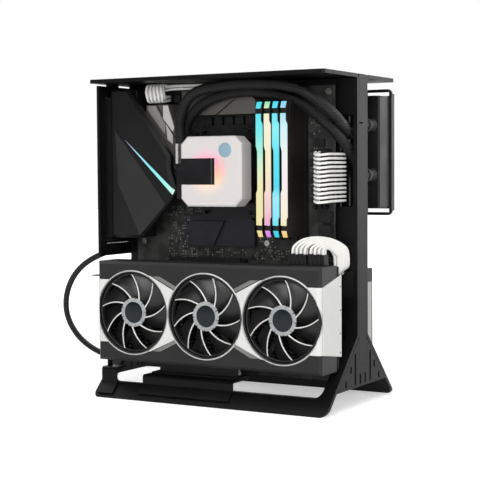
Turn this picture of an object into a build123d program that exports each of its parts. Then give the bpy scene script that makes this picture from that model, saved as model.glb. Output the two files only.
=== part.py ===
from build123d import *

import math
import os

# Open air test bench with a desktop computer mounted on it.
# X runs along the bench, Y from front to rear, Z up, all in millimetres.
# The origin is on the floor, under the middle of the bench.

# Clearances
seat_gap = 0.1
slip_gap = 0.25
running_gap = 0.05
swing_gap = 0.4

# Bench frame
bench_width = 280.0
bench_depth = 173.0
bench_height = 342.0
sheet = 4.0
spine_depth = 25.5
spine_centre = 3.0
bend_height = 73.0
bend_radius = 2.0
foot_corner = 7.0
flange_corner = 3.0
window_margin = 13.5
window_low = 15.7
window_high = 85.0
window_corner = 8.0
cable_slot_width = 15.0
cable_slot_margin = 4.5
upper_slot_drop = (136.0, 42.0)
lower_slot = (112.0, 168.0)
top_slot_height = 6.0
branch_slot = (-16.0, -6.0)
strip_sheet = 3.0
strip_low = 42.0
strip_notch_z = 291.0
strip_notch = (10.0, 1.6)
end_plate_top = 70.0
end_plate_low = 20.0
end_slot_width = 3.6
end_slots = ((18.5, 23.0, 55.0), (6.0, 22.5, 33.0), (29.0, 36.0, 43.0), (41.0, 22.5, 30.0))

# Side plate for the rear ports
side_plate_reach = 63.0
side_plate_low = 152.0
side_plate_slit = 1.8
side_plate_tab = (-55.0, -35.0)
side_flange = 11.0
aperture_rise = 13.0
aperture_drop = 18.0
aperture_depth = 44.5
aperture_edge = 1.9

# Circuit board and standoffs
board_width = 243.8
board_height = 304.8
board_thick = 1.6
board_right = 118.6
board_top = 330.7
standoff_height = 6.5
standoff_r = 3.4
screw_head_r = 3.5
screw_head = 2.2
hole_columns = (10.16, 165.1, 237.49)
hole_rows = (6.35, 163.83, 288.29)

# Port shroud and its light strip
shroud_front = -62.0
shroud_plate = 8.0
shroud_wall = 2.0
shroud_chamfer = 3.0
shroud_outline = (
    (-130.5, 333.0),
    (-107.6, 333.0),
    (-54.5, 260.0),
    (-54.5, 245.0),
    (-47.2, 224.0),
    (-50.2, 218.0),
    (-92.0, 172.0),
    (-130.5, 172.0),
)
light_strip = ((-115.0, 281.5), (-48.4, 223.4), (-51.2, 218.8))
light_strip_depth = 1.2

# Rear ports and their shield
port_rows = (
    (175.0, 184.0, 14.0),
    (186.0, 201.0, 30.0),
    (204.0, 220.0, 30.0),
    (223.0, 239.0, 30.0),
    (242.0, 262.0, 30.0),
    (266.0, 282.0, 22.0),
    (286.0, 318.0, 16.0),
)
port_right = -112.0
port_rim = 2.5
port_pocket = 10.0
shield_inset = 1.0
shield_sheet = 1.0
shield_neck = 1.8

# Regulator heatsinks, chipset cover and processor
pad_gap = 0.25
left_sink = ((-94.0, 235.0), (-57.0, 235.0), (-57.0, 290.0), (-66.0, 315.0), (-94.0, 315.0))
left_sink_front = -45.0
top_sink = ((-54.0, 303.0), (36.0, 303.0), (36.0, 317.0), (24.0, 329.0), (-54.0, 329.0))
top_sink_front = -36.5
sink_groove = (2.2, 3.0)
chipset_cover = ((-51.6, 163.0), (27.7, 163.0), (27.7, 190.0), (20.0, 197.0), (-51.6, 197.0))
chipset_front = -28.0
chipset_step = 3.0
socket_size = 50.0
socket_tall = 4.0
processor_size = 40.0
processor_tall = 4.2

# Memory
slot_first_x = 56.6
slot_pitch = 9.4
slot_count = 4
slot_width = 7.4
slot_low = 171.0
slot_high = 322.0
slot_tall = 8.0
slot_groove = 2.2
slot_groove_depth = 6.0
module_low = 176.0
module_high = 313.0
module_board = 1.4
module_width = 7.0
module_foot = 10.5
module_front = -60.0
bar_front = -67.0
bar_width = 6.2
bar_gap = 5.0
bar_tip = 7.0
latch_width = 5.0
latch_pivot_y = -22.0
latch_pivot_z = 318.2
latch_heel_r = 2.6
latch_reach = 12.0
latch_arm = 3.4

# Card slots on the board
card_slot_x = (-74.0, 16.0)
card_slots_z = (146.0, 105.6, 65.0)
card_slot_width = 7.5
card_slot_tall = 11.0

# Pump
pump_z = 243.0
pump_size = 73.0
pump_corner = 8.0
pump_front = -68.0
pump_cap_depth = 21.0
pump_wall = 2.5
pump_body_size = 66.0
cold_plate_size = 54.0
cold_plate = 3.0
pump_window = (41.0, 27.0)
pump_arm_holes = (27.0, 43.5)
pump_arm = 2.5
pump_arm_width = 11.0
arm_screw_r = 2.2
arm_screw = 7.0

# Tubes and their fittings
tube_r = 5.5
tube_sides = 8
tube_runs = 24
least_turn = 2.0
end_run = 4.5
bundle_sides = 6
bundle_runs = 12
ferrule_r = 6.2
ferrule_z = (250.0, 274.0)
fitting_x = -43.5
fitting_block = (9.4, 25.0, 36.0)
barb_length = 8.0
upper_barb_z = 291.0
lower_barb_z = 238.0

# Radiator, its fans and plate
radiator_length = 266.0
radiator_height = 120.0
radiator_thick = 27.0
radiator_z = 262.5
radiator_front = 52.0
radiator_tank = 13.0
core_inset = 1.5
core_rows = 9
core_groove = 8.0
fan_size = 120.0
fan_thick = 25.0
fan_bore_r = 57.5
fan_corner = 3.0
fan_holes = 105.0
fan_flange = 4.0
fan_pocket = 15.0
spacer_r = 4.0
plate_sheet = 3.0
plate_height = 136.0
plate_corner = 5.0
plate_window_r = 57.0
plate_slot = (26.0, 4.0)
plate_slot_inset = 16.0
plate_slot_edge = 5.2
plate_lip = 7.5

# Graphics card
card_length = 267.0
card_left = -130.5
card_low = 41.5
card_high = 148.0
card_front = -88.0
card_shroud_rear = -52.0
card_wall = 2.5
card_chamfer = 3.0
card_fans_x = (-86.0, 3.4, 92.6)
card_fans_z = 94.0
card_bore_r = 43.2
card_ring = 1.7
trim_thick = 1.0
trim_z = (61.5, 128.5)
trim_peak = 46.0
trim_waist = (68.0, 119.0)
trim_cap_z = (56.5, 136.0)
card_rotor_r = 41.8
card_rotor_ring = 1.4
ring_sides = 20
hub_sides = 14
duct_sides = 24
card_rotor_front = -86.0
card_rotor_depth = 13.0
card_hub_r = 15.5
spider_y = (-72.0, -69.0)
motor_r = 12.0
strut_lean = 32.0
strut_width = 5.0
shaft_r = 2.4
fin_block_y = (-66.0, -51.5)
fin_pitch = 11.0
fin_slot = 7.5
card_board_y = (-50.6, -49.0)
backplate_y = (-46.0, -44.0)
post_r = 3.0
post_inset = 20.0
finger_x = (-72.0, 14.0)
finger_low = 34.0
power_socket_x = (88.0, 107.0)
power_socket_pitch = 20.3
power_socket_y = (-61.5, -50.6)
power_plug_tall = 11.5
bracket_sheet = 1.2
bracket_low = 26.0
bracket_tab_z = 131.0
bracket_tab = 10.0

# Riser under the card and the holder at its left end
riser_sheet = 2.0
riser_x = (-84.0, 27.0)
riser_shelf_z = 24.0
riser_shelf_rear = -38.0
riser_web_y = -70.5
riser_base = 5.5
riser_board = 1.6
riser_slot_tall = 11.0
riser_slot_y = -49.8
riser_latch_x = 20.5
riser_latch_z = 31.2
ribbon_thick = 1.2
ribbon_x = (-70.0, 12.0)
ribbon_y = -35.0
holder_x = (-135.0, -116.0)
holder_web = 13.0
holder_base = 3.5
holder_shelf_z = 30.0
holder_shelf = 15.5

# Power supply
supply_x = (-8.0, 117.0)
supply_depth = 63.5
supply_z = (37.0, 137.0)
supply_wall = 1.5
supply_fan_r = 46.0
supply_fan_depth = 20.0
supply_rotor_depth = 12.0
supply_hub_r = 18.0
grille_r = 45.0
grille_pitch = 12.5
grille_slot = 8.5
inlet_x = 24.0
inlet_size = (30.0, 24.0)
inlet_tall = 2.0
inlet_socket = (24.0, 16.0)
switch_x = 52.0
switch_r = 6.5
switch_rise = 2.8
switch_width = 11.0
switch_frame = 20.0
switch_deep = 22.0
well_depth = 12.0
switch_tilt = 8.0

# Cables inside the bench
main_plug = (9.0, 52.0)
main_plug_x = 110.0
main_plug_z = 238.5
main_plug_front = -36.0
main_socket_tall = 9.0
main_band = 8.0
eps_plug_x = (-92.0, -70.0)
eps_plug_z = (317.5, 326.5)
small_plug_x = (-68.0, -60.0)
eps_plug_front = -31.0
eps_socket_tall = 6.0
eps_band = 4.4
branch_r = 2.2
bundle_r = 6.0
card_bundle_r = 5.6
trunk_r = 6.5

# Mains lead
lead_r = 3.5
lead_route = (
    (-21.0, 47.6, 150.0),
    (-56.0, 47.6, 150.0),
    (-104.0, 48.0, 157.0),
    (-154.0, 43.0, 160.0),
    (-203.0, 34.0, 151.0),
    (-241.0, 29.0, 132.0),
    (-266.0, 34.0, 100.0),
    (-274.0, 46.0, 64.0),
    (-264.0, 70.0, 30.0),
    (-238.0, 104.0, 9.0),
    (-206.0, 135.0, 4.6),
    (-174.6, 158.8, 4.5),
)
connector_size = (27.0, 22.0, 24.0)
relief_r = 5.5
coil_centre = (-135.0, 139.0)
coil_r = 38.0
coil_width = 22.0
coil_tall = 15.6
coil_sides = 20
stub_z = 12.0
stub_start = 164.0
plug_at = (-173.0, 184.0)
plug_size = (26.0, 38.0, 22.0)
blade = (1.6, 17.0, 6.4)
blade_spacing = 12.7

# Places worked out from the sizes above
half_width = bench_width / 2
half_depth = bench_depth / 2
window_half = half_width - window_margin
upper_slot = [bench_height - drop for drop in upper_slot_drop]
aperture_z = (side_plate_low + aperture_rise, bench_height - aperture_drop)
riser_base_y = riser_base - half_depth
holder_base_y = holder_base - half_depth
holder_web_y = holder_web - half_depth
holder_shelf_rear = holder_web_y + holder_shelf
front_face = spine_centre - spine_depth / 2
rear_face = spine_centre + spine_depth / 2
front_inner = front_face + sheet
rear_inner = rear_face - sheet
flange_under = bench_height - sheet
board_back = front_face - standoff_height
board_front = board_back - board_thick
board_left = board_right - board_width
board_low = board_top - board_height
slot_right = half_width - cable_slot_margin
slot_left = slot_right - cable_slot_width
port_left = strip_sheet / 2 - half_width
slot_mid = (slot_left + slot_right) / 2
tank_x = (radiator_length - radiator_tank) / 2
radiator_rear = radiator_front + radiator_thick
radiator_low = radiator_z - radiator_height / 2
fan_front = radiator_front - fan_thick
card_right = card_left + card_length
supply_front = rear_face + seat_gap
supply_rear = supply_front + supply_depth
slots_x = [slot_first_x + slot_pitch * i for i in range(slot_count)]
barb_y = radiator_front - barb_length
upper_tube = (
    (fitting_x, -56.0, ferrule_z[1]),
    (fitting_x, -56.0, 300.0),
    (-28.0, -56.5, 324.0),
    (12.0, -57.5, 331.8),
    (58.0, -58.0, 331.5),
    (92.0, -57.0, 324.5),
    (slot_mid - 15.0, -47.0, 309.0),
    (slot_mid - 2.0, -31.0, 298.0),
    (slot_mid + 1.0, -13.0, 289.5),
    (slot_mid, 10.0, 288.5),
    (slot_mid, 20.0, upper_barb_z),
    (tank_x, barb_y - 8.0, upper_barb_z),
    (tank_x, barb_y, upper_barb_z),
)
lower_tube = (
    (fitting_x, -43.0, ferrule_z[1]),
    (fitting_x, -43.0, 294.0),
    (-25.0, -43.5, 313.0),
    (8.0, -44.0, 325.0),
    (45.0, -44.0, 326.0),
    (92.0, -43.0, 321.5),
    (slot_mid - 18.0, -36.5, 298.0),
    (slot_mid - 4.2, -27.0, 281.0),
    (slot_mid + 0.5, -9.0, 274.0),
    (slot_mid, 8.0, 267.0),
    (slot_mid, 22.0, 245.0),
    (tank_x, barb_y - 9.0, lower_barb_z),
    (tank_x, barb_y, lower_barb_z),
)
tiny = 0.001


# Small building blocks
def block(x, y, z):
    """A box between two corners, given as three pairs."""
    size = Box(x[1] - x[0], y[1] - y[0], z[1] - z[0])
    return Pos(sum(x) / 2, sum(y) / 2, sum(z) / 2) * size


def about(middle, size):
    """A pair of ends, half a size to each side of a middle."""
    return middle - size / 2, middle + size / 2


def along_x(sketch, start, end):
    """A prism along X from a sketch of Y and Z."""
    return extrude(Plane.YZ.offset(start) * sketch, end - start, dir=(1, 0, 0))


def along_y(sketch, start, end):
    """A prism along Y from a sketch of X and Z."""
    return extrude(Plane.XZ.offset(-start) * sketch, end - start, dir=(0, 1, 0))


def along_z(sketch, start, end):
    """A prism along Z from a sketch of X and Y."""
    return extrude(Plane.XY.offset(start) * sketch, end - start, dir=(0, 0, 1))


def outline(points):
    """A flat face inside straight sides."""
    return make_face(Polyline(*points, close=True))


def at(x, y, sketch):
    """A sketch moved in its own plane."""
    return Pos(x, y) * sketch


def pin_y(x, z, radius, start, end):
    """A round pin along Y."""
    return along_y(at(x, z, Circle(radius)), start, end)


def folded(points, radius, thickness, side, x):
    """A sheet folded along a line in Y and Z, on one side of that line."""
    line = FilletPolyline(*points, radius=radius)
    profile = Face(line.offset_2d(thickness, kind=Kind.INTERSECTION, side=side))
    return along_x(profile, x[0], x[1])


def corner_edges(body, test):
    """Edges of a body whose middle passes a test."""
    return [edge for edge in body.edges() if test(edge.center())]


def foot_y(z, face, edge, depth):
    """Y of a plane that lies a depth below a sloped foot's outer face."""
    outer = face + (edge - face) * (bend_height - z) / bend_height
    lean = math.hypot(edge - face, bend_height) / bend_height
    return outer - math.copysign(depth * lean, edge)


def foot_z(y):
    """Height of the front foot's outer face."""
    return bend_height * (y + half_depth) / (front_face + half_depth)


def bend_radii(points):
    """The largest smooth bend at each corner of a route."""
    radii = []
    corners = [Vector(*point) for point in points]
    for before, here, after in zip(corners, corners[1:], corners[2:]):
        run_in = here - before
        run_out = after - here
        half_turn = math.radians(run_in.get_angle(run_out)) / 2
        shorter = min(run_in.length, run_out.length)
        radii.append(0.45 * shorter / math.tan(half_turn))
    return radii


def hexagon_y(x, z, radius, start, end):
    """A six-sided pin along Y."""
    return along_y(at(x, z, RegularPolygon(radius, 6)), start, end)


def tube(points, radius, sides):
    """A tube along straight runs joined by tangent arcs."""
    path = FilletPolyline(*points, radius=bend_radii(points))
    start = Plane(origin=path @ 0, z_dir=path % 0)
    return sweep(start * RegularPolygon(radius, sides), path)


def trunk(points, radius, sides):
    """A bundle or hose along straight runs with mitred corners."""
    path = Polyline(*points)
    start = Plane(origin=path @ 0, z_dir=path % 0)
    return sweep(start * RegularPolygon(radius, sides), path, transition=Transition.RIGHT)


def hose(points, radius, sides, runs):
    """A smoothly bent route, made of short mitred runs with square ends."""
    path = FilletPolyline(*points, radius=bend_radii(points))
    first = path @ 0 + (path % 0) * end_run
    last = path @ 1 - (path % 1) * end_run
    stops = [path @ (i / runs) for i in range(1, runs)]
    stops = [stop for stop in stops if min((stop - first).length, (stop - last).length) > end_run]
    kept = [path @ 0, first]
    for here, after in zip(stops, stops[1:] + [last]):
        if (here - kept[-1]).get_angle(after - here) > least_turn:
            kept.append(here)
    return trunk(kept + [last, path @ 1], radius, sides)


parts = {}


# Bench frame
def bench_sheet(face, edge, side):
    """Top flange, panel and sloped foot, folded from one sheet."""
    overrun = 1.2
    toe = (face + (edge - face) * overrun, bend_height * (1 - overrun))
    points = ((edge, flange_under), (face, flange_under), (face, bend_height), toe)
    body = folded(points, bend_radius, sheet, side, (-half_width, half_width))
    front_view = at(0, bench_height / 2, Rectangle(bench_width, bench_height))
    front_view = fillet(front_view.vertices().group_by(Axis.Y)[0], foot_corner)
    body &= along_y(front_view, -bench_depth, bench_depth)
    on_end = half_width - tiny
    tips = corner_edges(body, lambda c: abs(c.X) > on_end and abs(c.Y - edge) < tiny and c.Z > flange_under)
    body = fillet(tips, flange_corner)
    middle = (window_low + window_high) / 2
    window = RectangleRounded(2 * window_half, window_high - window_low, window_corner)
    body -= along_y(at(0, middle, window), -bench_depth if edge < 0 else rear_inner - sheet,
                    front_inner + sheet if edge < 0 else bench_depth)
    for low, high in (upper_slot, lower_slot):
        hole = Rectangle(cable_slot_width, high - low)
        body -= along_y(at(slot_mid, (low + high) / 2, hole), face - 2 * sheet, face + 2 * sheet)
    return body


def board_holes():
    """The board's fastening points in X and Z."""
    return [(board_left + x, board_top - z) for x in hole_columns for z in hole_rows]


def front_sheet():
    """The sheet that carries the board, with its pressed standoffs."""
    body = bench_sheet(front_face, -half_depth, Side.LEFT)
    for x, z in board_holes():
        if z > window_high:
            body += hexagon_y(x, z, standoff_r, board_back, front_face + sheet / 2)
    cable_top = flange_under - bend_radius
    eps = (eps_plug_x[0] - slip_gap * 4, eps_plug_x[1] + slip_gap * 4)
    body -= block(eps, (front_face - sheet, front_inner + sheet), (cable_top - top_slot_height, cable_top))
    through = (front_face - sheet, front_inner + sheet)
    body -= block(branch_slot, through, (cable_top - 2 * top_slot_height, cable_top))
    return body


def spine_strip(side):
    """A narrow strip that closes one end of the spine."""
    x = sorted((side * half_width, side * (half_width - strip_sheet)))
    y = (front_inner + slip_gap, rear_inner - slip_gap)
    body = block(x, y, (strip_low, bench_height))
    body -= block(x, (y[0], y[0] + strip_notch[0]), (strip_notch_z, strip_notch_z + strip_notch[1]))
    return body


def end_plate(side):
    """A slotted triangle between the two feet at one end."""
    x = sorted((side * half_width, side * (half_width - strip_sheet)))
    y = (front_inner + slip_gap, rear_inner - slip_gap)
    toe_front = foot_y(end_plate_low, front_face, -half_depth, sheet) + slip_gap
    toe_rear = foot_y(end_plate_low, rear_face, half_depth, sheet) - slip_gap
    corners = [(y[0], end_plate_top), (toe_front, end_plate_low)]
    corners += [(toe_rear, end_plate_low), (y[1], end_plate_top)]
    body = along_x(outline(corners), x[0], x[1])
    body -= block(x, (y[0] - slip_gap, y[1] + slip_gap), (strip_low - slip_gap, bench_height))
    for reach, low, high in end_slots:
        for way in (-1, 1):
            slot = Rectangle(end_slot_width, high - low)
            body -= along_x(at(spine_centre + way * reach, (low + high) / 2, slot), x[0], x[1])
    return body


def side_plate():
    """The plate at the left end that frames the rear ports."""
    rear = front_face - seat_gap
    front = front_face - side_plate_reach
    x = (-half_width, strip_sheet - half_width)
    top = flange_under - side_plate_slit
    body = block(x, (front, rear), (side_plate_low, top))
    body += block(x, side_plate_tab, (top, flange_under - seat_gap))
    body += block((x[0], x[0] + side_flange), (rear - strip_sheet, rear), (side_plate_low, top))
    opening = (board_front + aperture_edge - aperture_depth, board_front + aperture_edge)
    body -= block(x, opening, aperture_z)
    return body


def screw_group():
    """Six-sided screw heads that hold the board on its standoffs."""
    screws = []
    for x, z in board_holes():
        if z > window_high:
            screws.append(hexagon_y(x, z, screw_head_r, board_front - screw_head, board_front))
    return screws


# Graphics card supports
def riser_bracket():
    """A folded shelf under the card, screwed to the front foot."""
    lift = seat_gap * 2
    points = (
        (riser_base_y, foot_z(riser_base_y) + lift),
        (riser_web_y, foot_z(riser_web_y) + lift),
        (riser_web_y, riser_shelf_z),
        (riser_shelf_rear, riser_shelf_z),
    )
    return folded(points, (riser_sheet, riser_sheet / 2), riser_sheet, Side.LEFT, riser_x)


def card_holder():
    """A folded foot that holds the card's slot bracket."""
    lift = seat_gap * 2
    points = (
        (holder_base_y, foot_z(holder_base_y) + lift),
        (holder_web_y, foot_z(holder_web_y) + lift),
        (holder_web_y, holder_shelf_z),
        (holder_shelf_rear, holder_shelf_z),
    )
    body = folded(points, (riser_sheet, riser_sheet / 2), riser_sheet, Side.LEFT, holder_x)
    slit = (card_left - bracket_sheet - slip_gap, card_left + slip_gap)
    shelf = (holder_shelf_z - riser_sheet, holder_shelf_z + 2 * riser_sheet)
    body -= block(slit, (holder_web_y, holder_shelf_rear - riser_sheet), shelf)
    return body


parts["front_sheet"] = front_sheet()
parts["rear_sheet"] = bench_sheet(rear_face, half_depth, Side.RIGHT)
parts["spine_strips"] = [spine_strip(-1), spine_strip(1)]
parts["end_plates"] = [end_plate(-1), end_plate(1)]
parts["side_plate"] = side_plate()
parts["board_screws"] = screw_group()
parts["riser_bracket"] = riser_bracket()
parts["card_holder"] = card_holder()


# Board and what is soldered to it
def on_board(x, z, tall):
    """A box that stands on the board's face."""
    return block(x, (board_front - tall, board_front), z)


def port_box(low, high, tall, grow):
    """The outside of one rear port, with a margin round it."""
    y = (board_front - tall - grow, board_front + (grow and seat_gap))
    left = -half_width if grow else port_left
    return block((left, port_right), y, (low - grow, high + grow))


def soldered_parts():
    """Ports, sockets, chokes and connectors on the board."""
    pieces = []
    for low, high, tall in port_rows:
        port = port_box(low, high, tall, 0.0)
        rim = port_rim
        pocket = block((port_left, port_left + port_pocket), (board_front - tall + rim, board_front - rim),
                       (low + rim, high - rim))
        pieces.append(port - pocket)
    frame = on_board(about(0, socket_size), about(pump_z, socket_size), socket_tall)
    pieces.append(frame)
    for i in range(6):
        pieces.append(on_board((-52.0, -43.5), (210.0 + 13 * i, 220.0 + 13 * i), 7.0))
    for i in range(5):
        pieces.append(on_board((-34.0 + 13 * i, -24.0 + 13 * i), (292.0, 301.0), 7.0))
    for low in (42.5, 56.5, 70.5):
        pieces.append(on_board((96.0, 114.0), (low, low + 10.0), 9.0))
    for low in (176.0, 190.0):
        pieces.append(on_board((104.0, 117.0), (low, low + 11.0), 9.0))
    pieces.append(on_board((98.0, 108.0), (268.0, 276.0), 4.0))
    for i in range(3):
        pieces.append(hexagon_y(98.0 + 6 * i, 206.0, 2.4, board_front - 7.0, board_front))
    wide, tall = main_plug
    pieces.append(on_board(about(main_plug_x, wide + 2), about(main_plug_z, tall + 2), main_socket_tall))
    for plug_x in (eps_plug_x, small_plug_x):
        pieces.append(on_board(plug_x, eps_plug_z, eps_socket_tall))
    return pieces


def port_shield(right, low):
    """The shield in the side plate's opening, with a cut-out for each port, on a short neck."""
    x = (shield_inset - half_width, shield_inset + shield_sheet - half_width)
    rear = board_front + aperture_edge - slip_gap
    front = board_front + aperture_edge - aperture_depth + slip_gap
    high = aperture_z[1] - slip_gap
    body = block(x, (front, rear), (aperture_z[0] + slip_gap, high))
    for port in port_rows:
        body -= port_box(*port, slip_gap)
    neck_y = (shroud_front + shroud_chamfer + seat_gap, board_front - seat_gap)
    wall = shield_neck
    neck = block((x[1], right), neck_y, (low, high))
    neck -= block((x[1], right), (neck_y[0] + wall, neck_y[1]), (low + wall, high - wall))
    return body + neck


def port_shroud():
    """The faceted cover over the ports, with the port shield at its left."""
    plate = along_y(outline(shroud_outline), shroud_front, shroud_front + shroud_plate)
    rim = plate.faces().sort_by(Axis.Y)[0].edges()
    body = chamfer(rim, shroud_chamfer)
    left = shroud_outline[0][0]
    box_right = -100.0
    skirt = board_front - seat_gap
    low, high = (shroud_outline[-1][1], shroud_outline[0][1] - shroud_wall)
    cover = block((left, box_right), (shroud_front + shroud_plate, skirt), (low, high))
    inner = (low + shroud_wall, high - shroud_wall)
    cover -= block((left - 1, box_right - shroud_wall), (shroud_front + shroud_plate, skirt), inner)
    body += cover
    body += port_shield(left, low)
    strip = along_y(outline(light_strip), shroud_front, shroud_front + light_strip_depth)
    return body - strip


def grooved_sink(points, front, low, high):
    """A regulator heatsink with slanted grooves across its face."""
    body = along_y(outline(points), front, board_front - pad_gap)
    width, depth = sink_groove
    for x, z, turn in (low, high):
        cut = Pos(x, front, z) * Rot(0, turn, 0) * Box(width, 2 * depth, 120)
        body -= cut
    return body


def chipset_cover_plate():
    """The low cover over the chipset, with a raised slanted step."""
    body = along_y(outline(chipset_cover), chipset_front + chipset_step, board_front - pad_gap)
    left, low = chipset_cover[0]
    right, high = chipset_cover[2]
    raised = ((left, low), (left + 30, low), (left + 44, high), (left, high))
    body += along_y(outline(raised), chipset_front, chipset_front + chipset_step)
    return body


def memory_slot(x):
    """A memory socket with a fork for the latch at its top end."""
    body = on_board((x - slot_width / 2, x + slot_width / 2), (slot_low, slot_high), slot_tall)
    mouth = board_front - slot_tall
    groove = slot_groove / 2
    body -= block((x - groove, x + groove), (mouth, mouth + slot_groove_depth), (module_low - 1, slot_high))
    fork = latch_width / 2 + slip_gap / 2
    body -= block((x - fork, x + fork), (mouth, board_front), (module_high + swing_gap, slot_high))
    return body


def memory_latch(x):
    """The lever that holds a memory module, with a round heel in the fork."""
    heel = at(latch_pivot_y, latch_pivot_z, RegularPolygon(latch_heel_r, tube_sides))
    tip = latch_pivot_y - latch_reach
    arm = at((latch_pivot_y + tip) / 2, latch_pivot_z, Rectangle(latch_reach, latch_arm))
    hook = at(tip + latch_arm / 2, latch_pivot_z - latch_arm / 2, Rectangle(latch_arm, latch_arm))
    return along_x(heel + arm + hook, x - latch_width / 2, x + latch_width / 2)


def memory_module(x):
    """A memory board between its two heat spreaders."""
    mouth = board_front - slot_tall
    edge = mouth + slot_groove_depth - slip_gap
    half = module_board / 2
    body = block((x - half, x + half), (mouth - module_foot, edge), (module_low, module_high))
    shoulder = mouth - seat_gap
    side = (
        (shoulder, module_low),
        (module_front, module_low),
        (module_front, module_high),
        (shoulder, module_high),
    )
    body += along_x(outline(side), x - module_width / 2, x + module_width / 2)
    for z in (module_low + bar_tip, module_high - bar_tip - bar_gap):
        clip = (z + slip_gap, z + bar_gap - slip_gap)
        body += block((x - bar_width / 2, x + bar_width / 2), (bar_front + 1.5, module_front), clip)
    return body


def light_bars(x):
    """The long light bar of a module and its two short tips."""
    half = bar_width / 2
    low = module_low + bar_tip + bar_gap
    high = module_high - bar_tip - bar_gap
    lean = 0.5
    third = (high - low) / 3
    sway = ((0.0, lean), (0.8, lean), (1.2, -lean), (1.9, -lean), (2.2, lean), (3.0, lean))
    right = [(x + half + shift - lean, low + third * t) for t, shift in sway]
    left = [(x - half + shift + lean, low + third * t) for t, shift in reversed(sway)]
    bars = [along_y(outline(right + left), bar_front, module_front)]
    for z in (module_low, module_high - bar_tip):
        bars.append(block((x - half, x + half), (bar_front, module_front), (z, z + bar_tip)))
    return bars


def card_slot(z):
    """A long card slot on the board."""
    body = on_board(card_slot_x, (z - card_slot_width / 2, z + card_slot_width / 2), card_slot_tall)
    mouth = board_front - card_slot_tall
    key = slot_groove / 2
    inset = 3.0
    groove = (card_slot_x[0] + inset, card_slot_x[1] - inset)
    body -= block(groove, (mouth, mouth + slot_groove_depth), (z - key, z + key))
    return body


parts["circuit_board"] = block((board_left, board_right), (board_front, board_back), (board_low, board_top))
parts["soldered_parts"] = soldered_parts()
parts["port_shroud"] = port_shroud()
parts["light_strip"] = along_y(outline(light_strip), shroud_front, shroud_front + light_strip_depth)
parts["regulator_heatsinks"] = [
    grooved_sink(left_sink, left_sink_front, (-83, 280, -34), (-68, 296, -34)),
    grooved_sink(top_sink, top_sink_front, (-20, 316, 55), (8, 316, 55)),
]
parts["chipset_cover"] = chipset_cover_plate()
processor_rear = board_front - socket_tall
half_chip = processor_size / 2
parts["processor"] = block(
    (-half_chip, half_chip),
    (processor_rear - processor_tall, processor_rear),
    (pump_z - half_chip, pump_z + half_chip),
)
parts["memory_slots"] = [memory_slot(x) for x in slots_x]
parts["card_slots"] = [card_slot(z) for z in card_slots_z]
for i, x in enumerate(slots_x, 1):
    parts[f"memory_latch_{i}"] = memory_latch(x)
    parts[f"memory_module_{i}"] = memory_module(x)
parts["memory_light_bars"] = [bar for x in slots_x for bar in light_bars(x)]


# Pump
pump_base = processor_rear - processor_tall
cap_rear = pump_front + pump_cap_depth


def square(size, corner):
    """A square with cut corners, centred on the pump."""
    shape = at(0, pump_z, Rectangle(size, size))
    return chamfer(shape.vertices(), corner)


def window_block(grow):
    """The dark inset at the left of the pump's face, with a margin round it."""
    width, height = pump_window
    left = -pump_size / 2
    rear = pump_front + pump_wall
    return block((left, left + width + grow), (pump_front, rear), about(pump_z, height + 2 * grow))


def pump_cap():
    """The frosted square shell over the pump, cut away for the dark inset."""
    body = along_y(square(pump_size, pump_corner), pump_front, cap_rear)
    rim = body.faces().sort_by(Axis.Y)[0].edges()
    body = chamfer(rim, 1.5)
    inner = square(pump_size - 2 * pump_wall, pump_corner)
    body -= along_y(inner, pump_front + pump_wall, cap_rear)
    return body - window_block(slip_gap)


def pump_body():
    """Cold plate, motor housing and the dark inset of its face."""
    half = cold_plate_size / 2
    body = block((-half, half), (pump_base - cold_plate, pump_base), (pump_z - half, pump_z + half))
    housing = square(pump_body_size, pump_corner)
    body += along_y(housing, pump_front + pump_wall + slip_gap, pump_base - cold_plate)
    inset = window_block(0) & along_y(square(pump_size, pump_corner), pump_front, cap_rear)
    width, height = pump_window
    left = -pump_body_size / 2 + pump_corner
    behind = (pump_front + pump_wall, pump_front + 2 * pump_wall)
    stem = block((left, width - pump_size / 2), behind, about(pump_z, height))
    return body + inset + stem


def pump_bracket():
    """Two arms beside the cold plate, with their four spring screws."""
    arm_x, arm_z = pump_arm_holes
    rear = pump_base - cold_plate - seat_gap
    hub = pump_body_size / 2 + slip_gap
    half = pump_arm_width / 2
    wide, tall = 2 * (arm_x + half), 2 * (arm_z + half)
    plate = block(about(0, wide), (rear - pump_arm, rear), about(pump_z, tall))
    plate -= block((-hub, hub), (rear - pump_arm, rear), (pump_z - hub, pump_z + hub))
    for x in (-arm_x, arm_x):
        for z in (pump_z - arm_z, pump_z + arm_z):
            plate += hexagon_y(x, z, arm_screw_r, rear - pump_arm - arm_screw, board_front)
    return plate.solids()


def tube_fittings():
    """The elbow block at the pump's left and the two ferrules on it."""
    wide, deep, tall = fitting_block
    right = -pump_size / 2 - slip_gap
    middle = (upper_tube[0][1] + lower_tube[0][1]) / 2
    low = ferrule_z[0]
    body = block((right - wide, right), (middle - deep / 2, middle + deep / 2), (low - tall, low))
    for y in (upper_tube[0][1], lower_tube[0][1]):
        body += along_z(at(fitting_x, y, RegularPolygon(ferrule_r, tube_sides)), low, ferrule_z[1])
    return body


parts["pump_cap"] = pump_cap()
parts["pump_body"] = pump_body()
parts["pump_bracket"] = pump_bracket()
parts["tube_fittings"] = tube_fittings()
parts["upper_tube"] = hose(upper_tube, tube_r, tube_sides, tube_runs)
parts["lower_tube"] = hose(lower_tube, tube_r, tube_sides, tube_runs)


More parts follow.
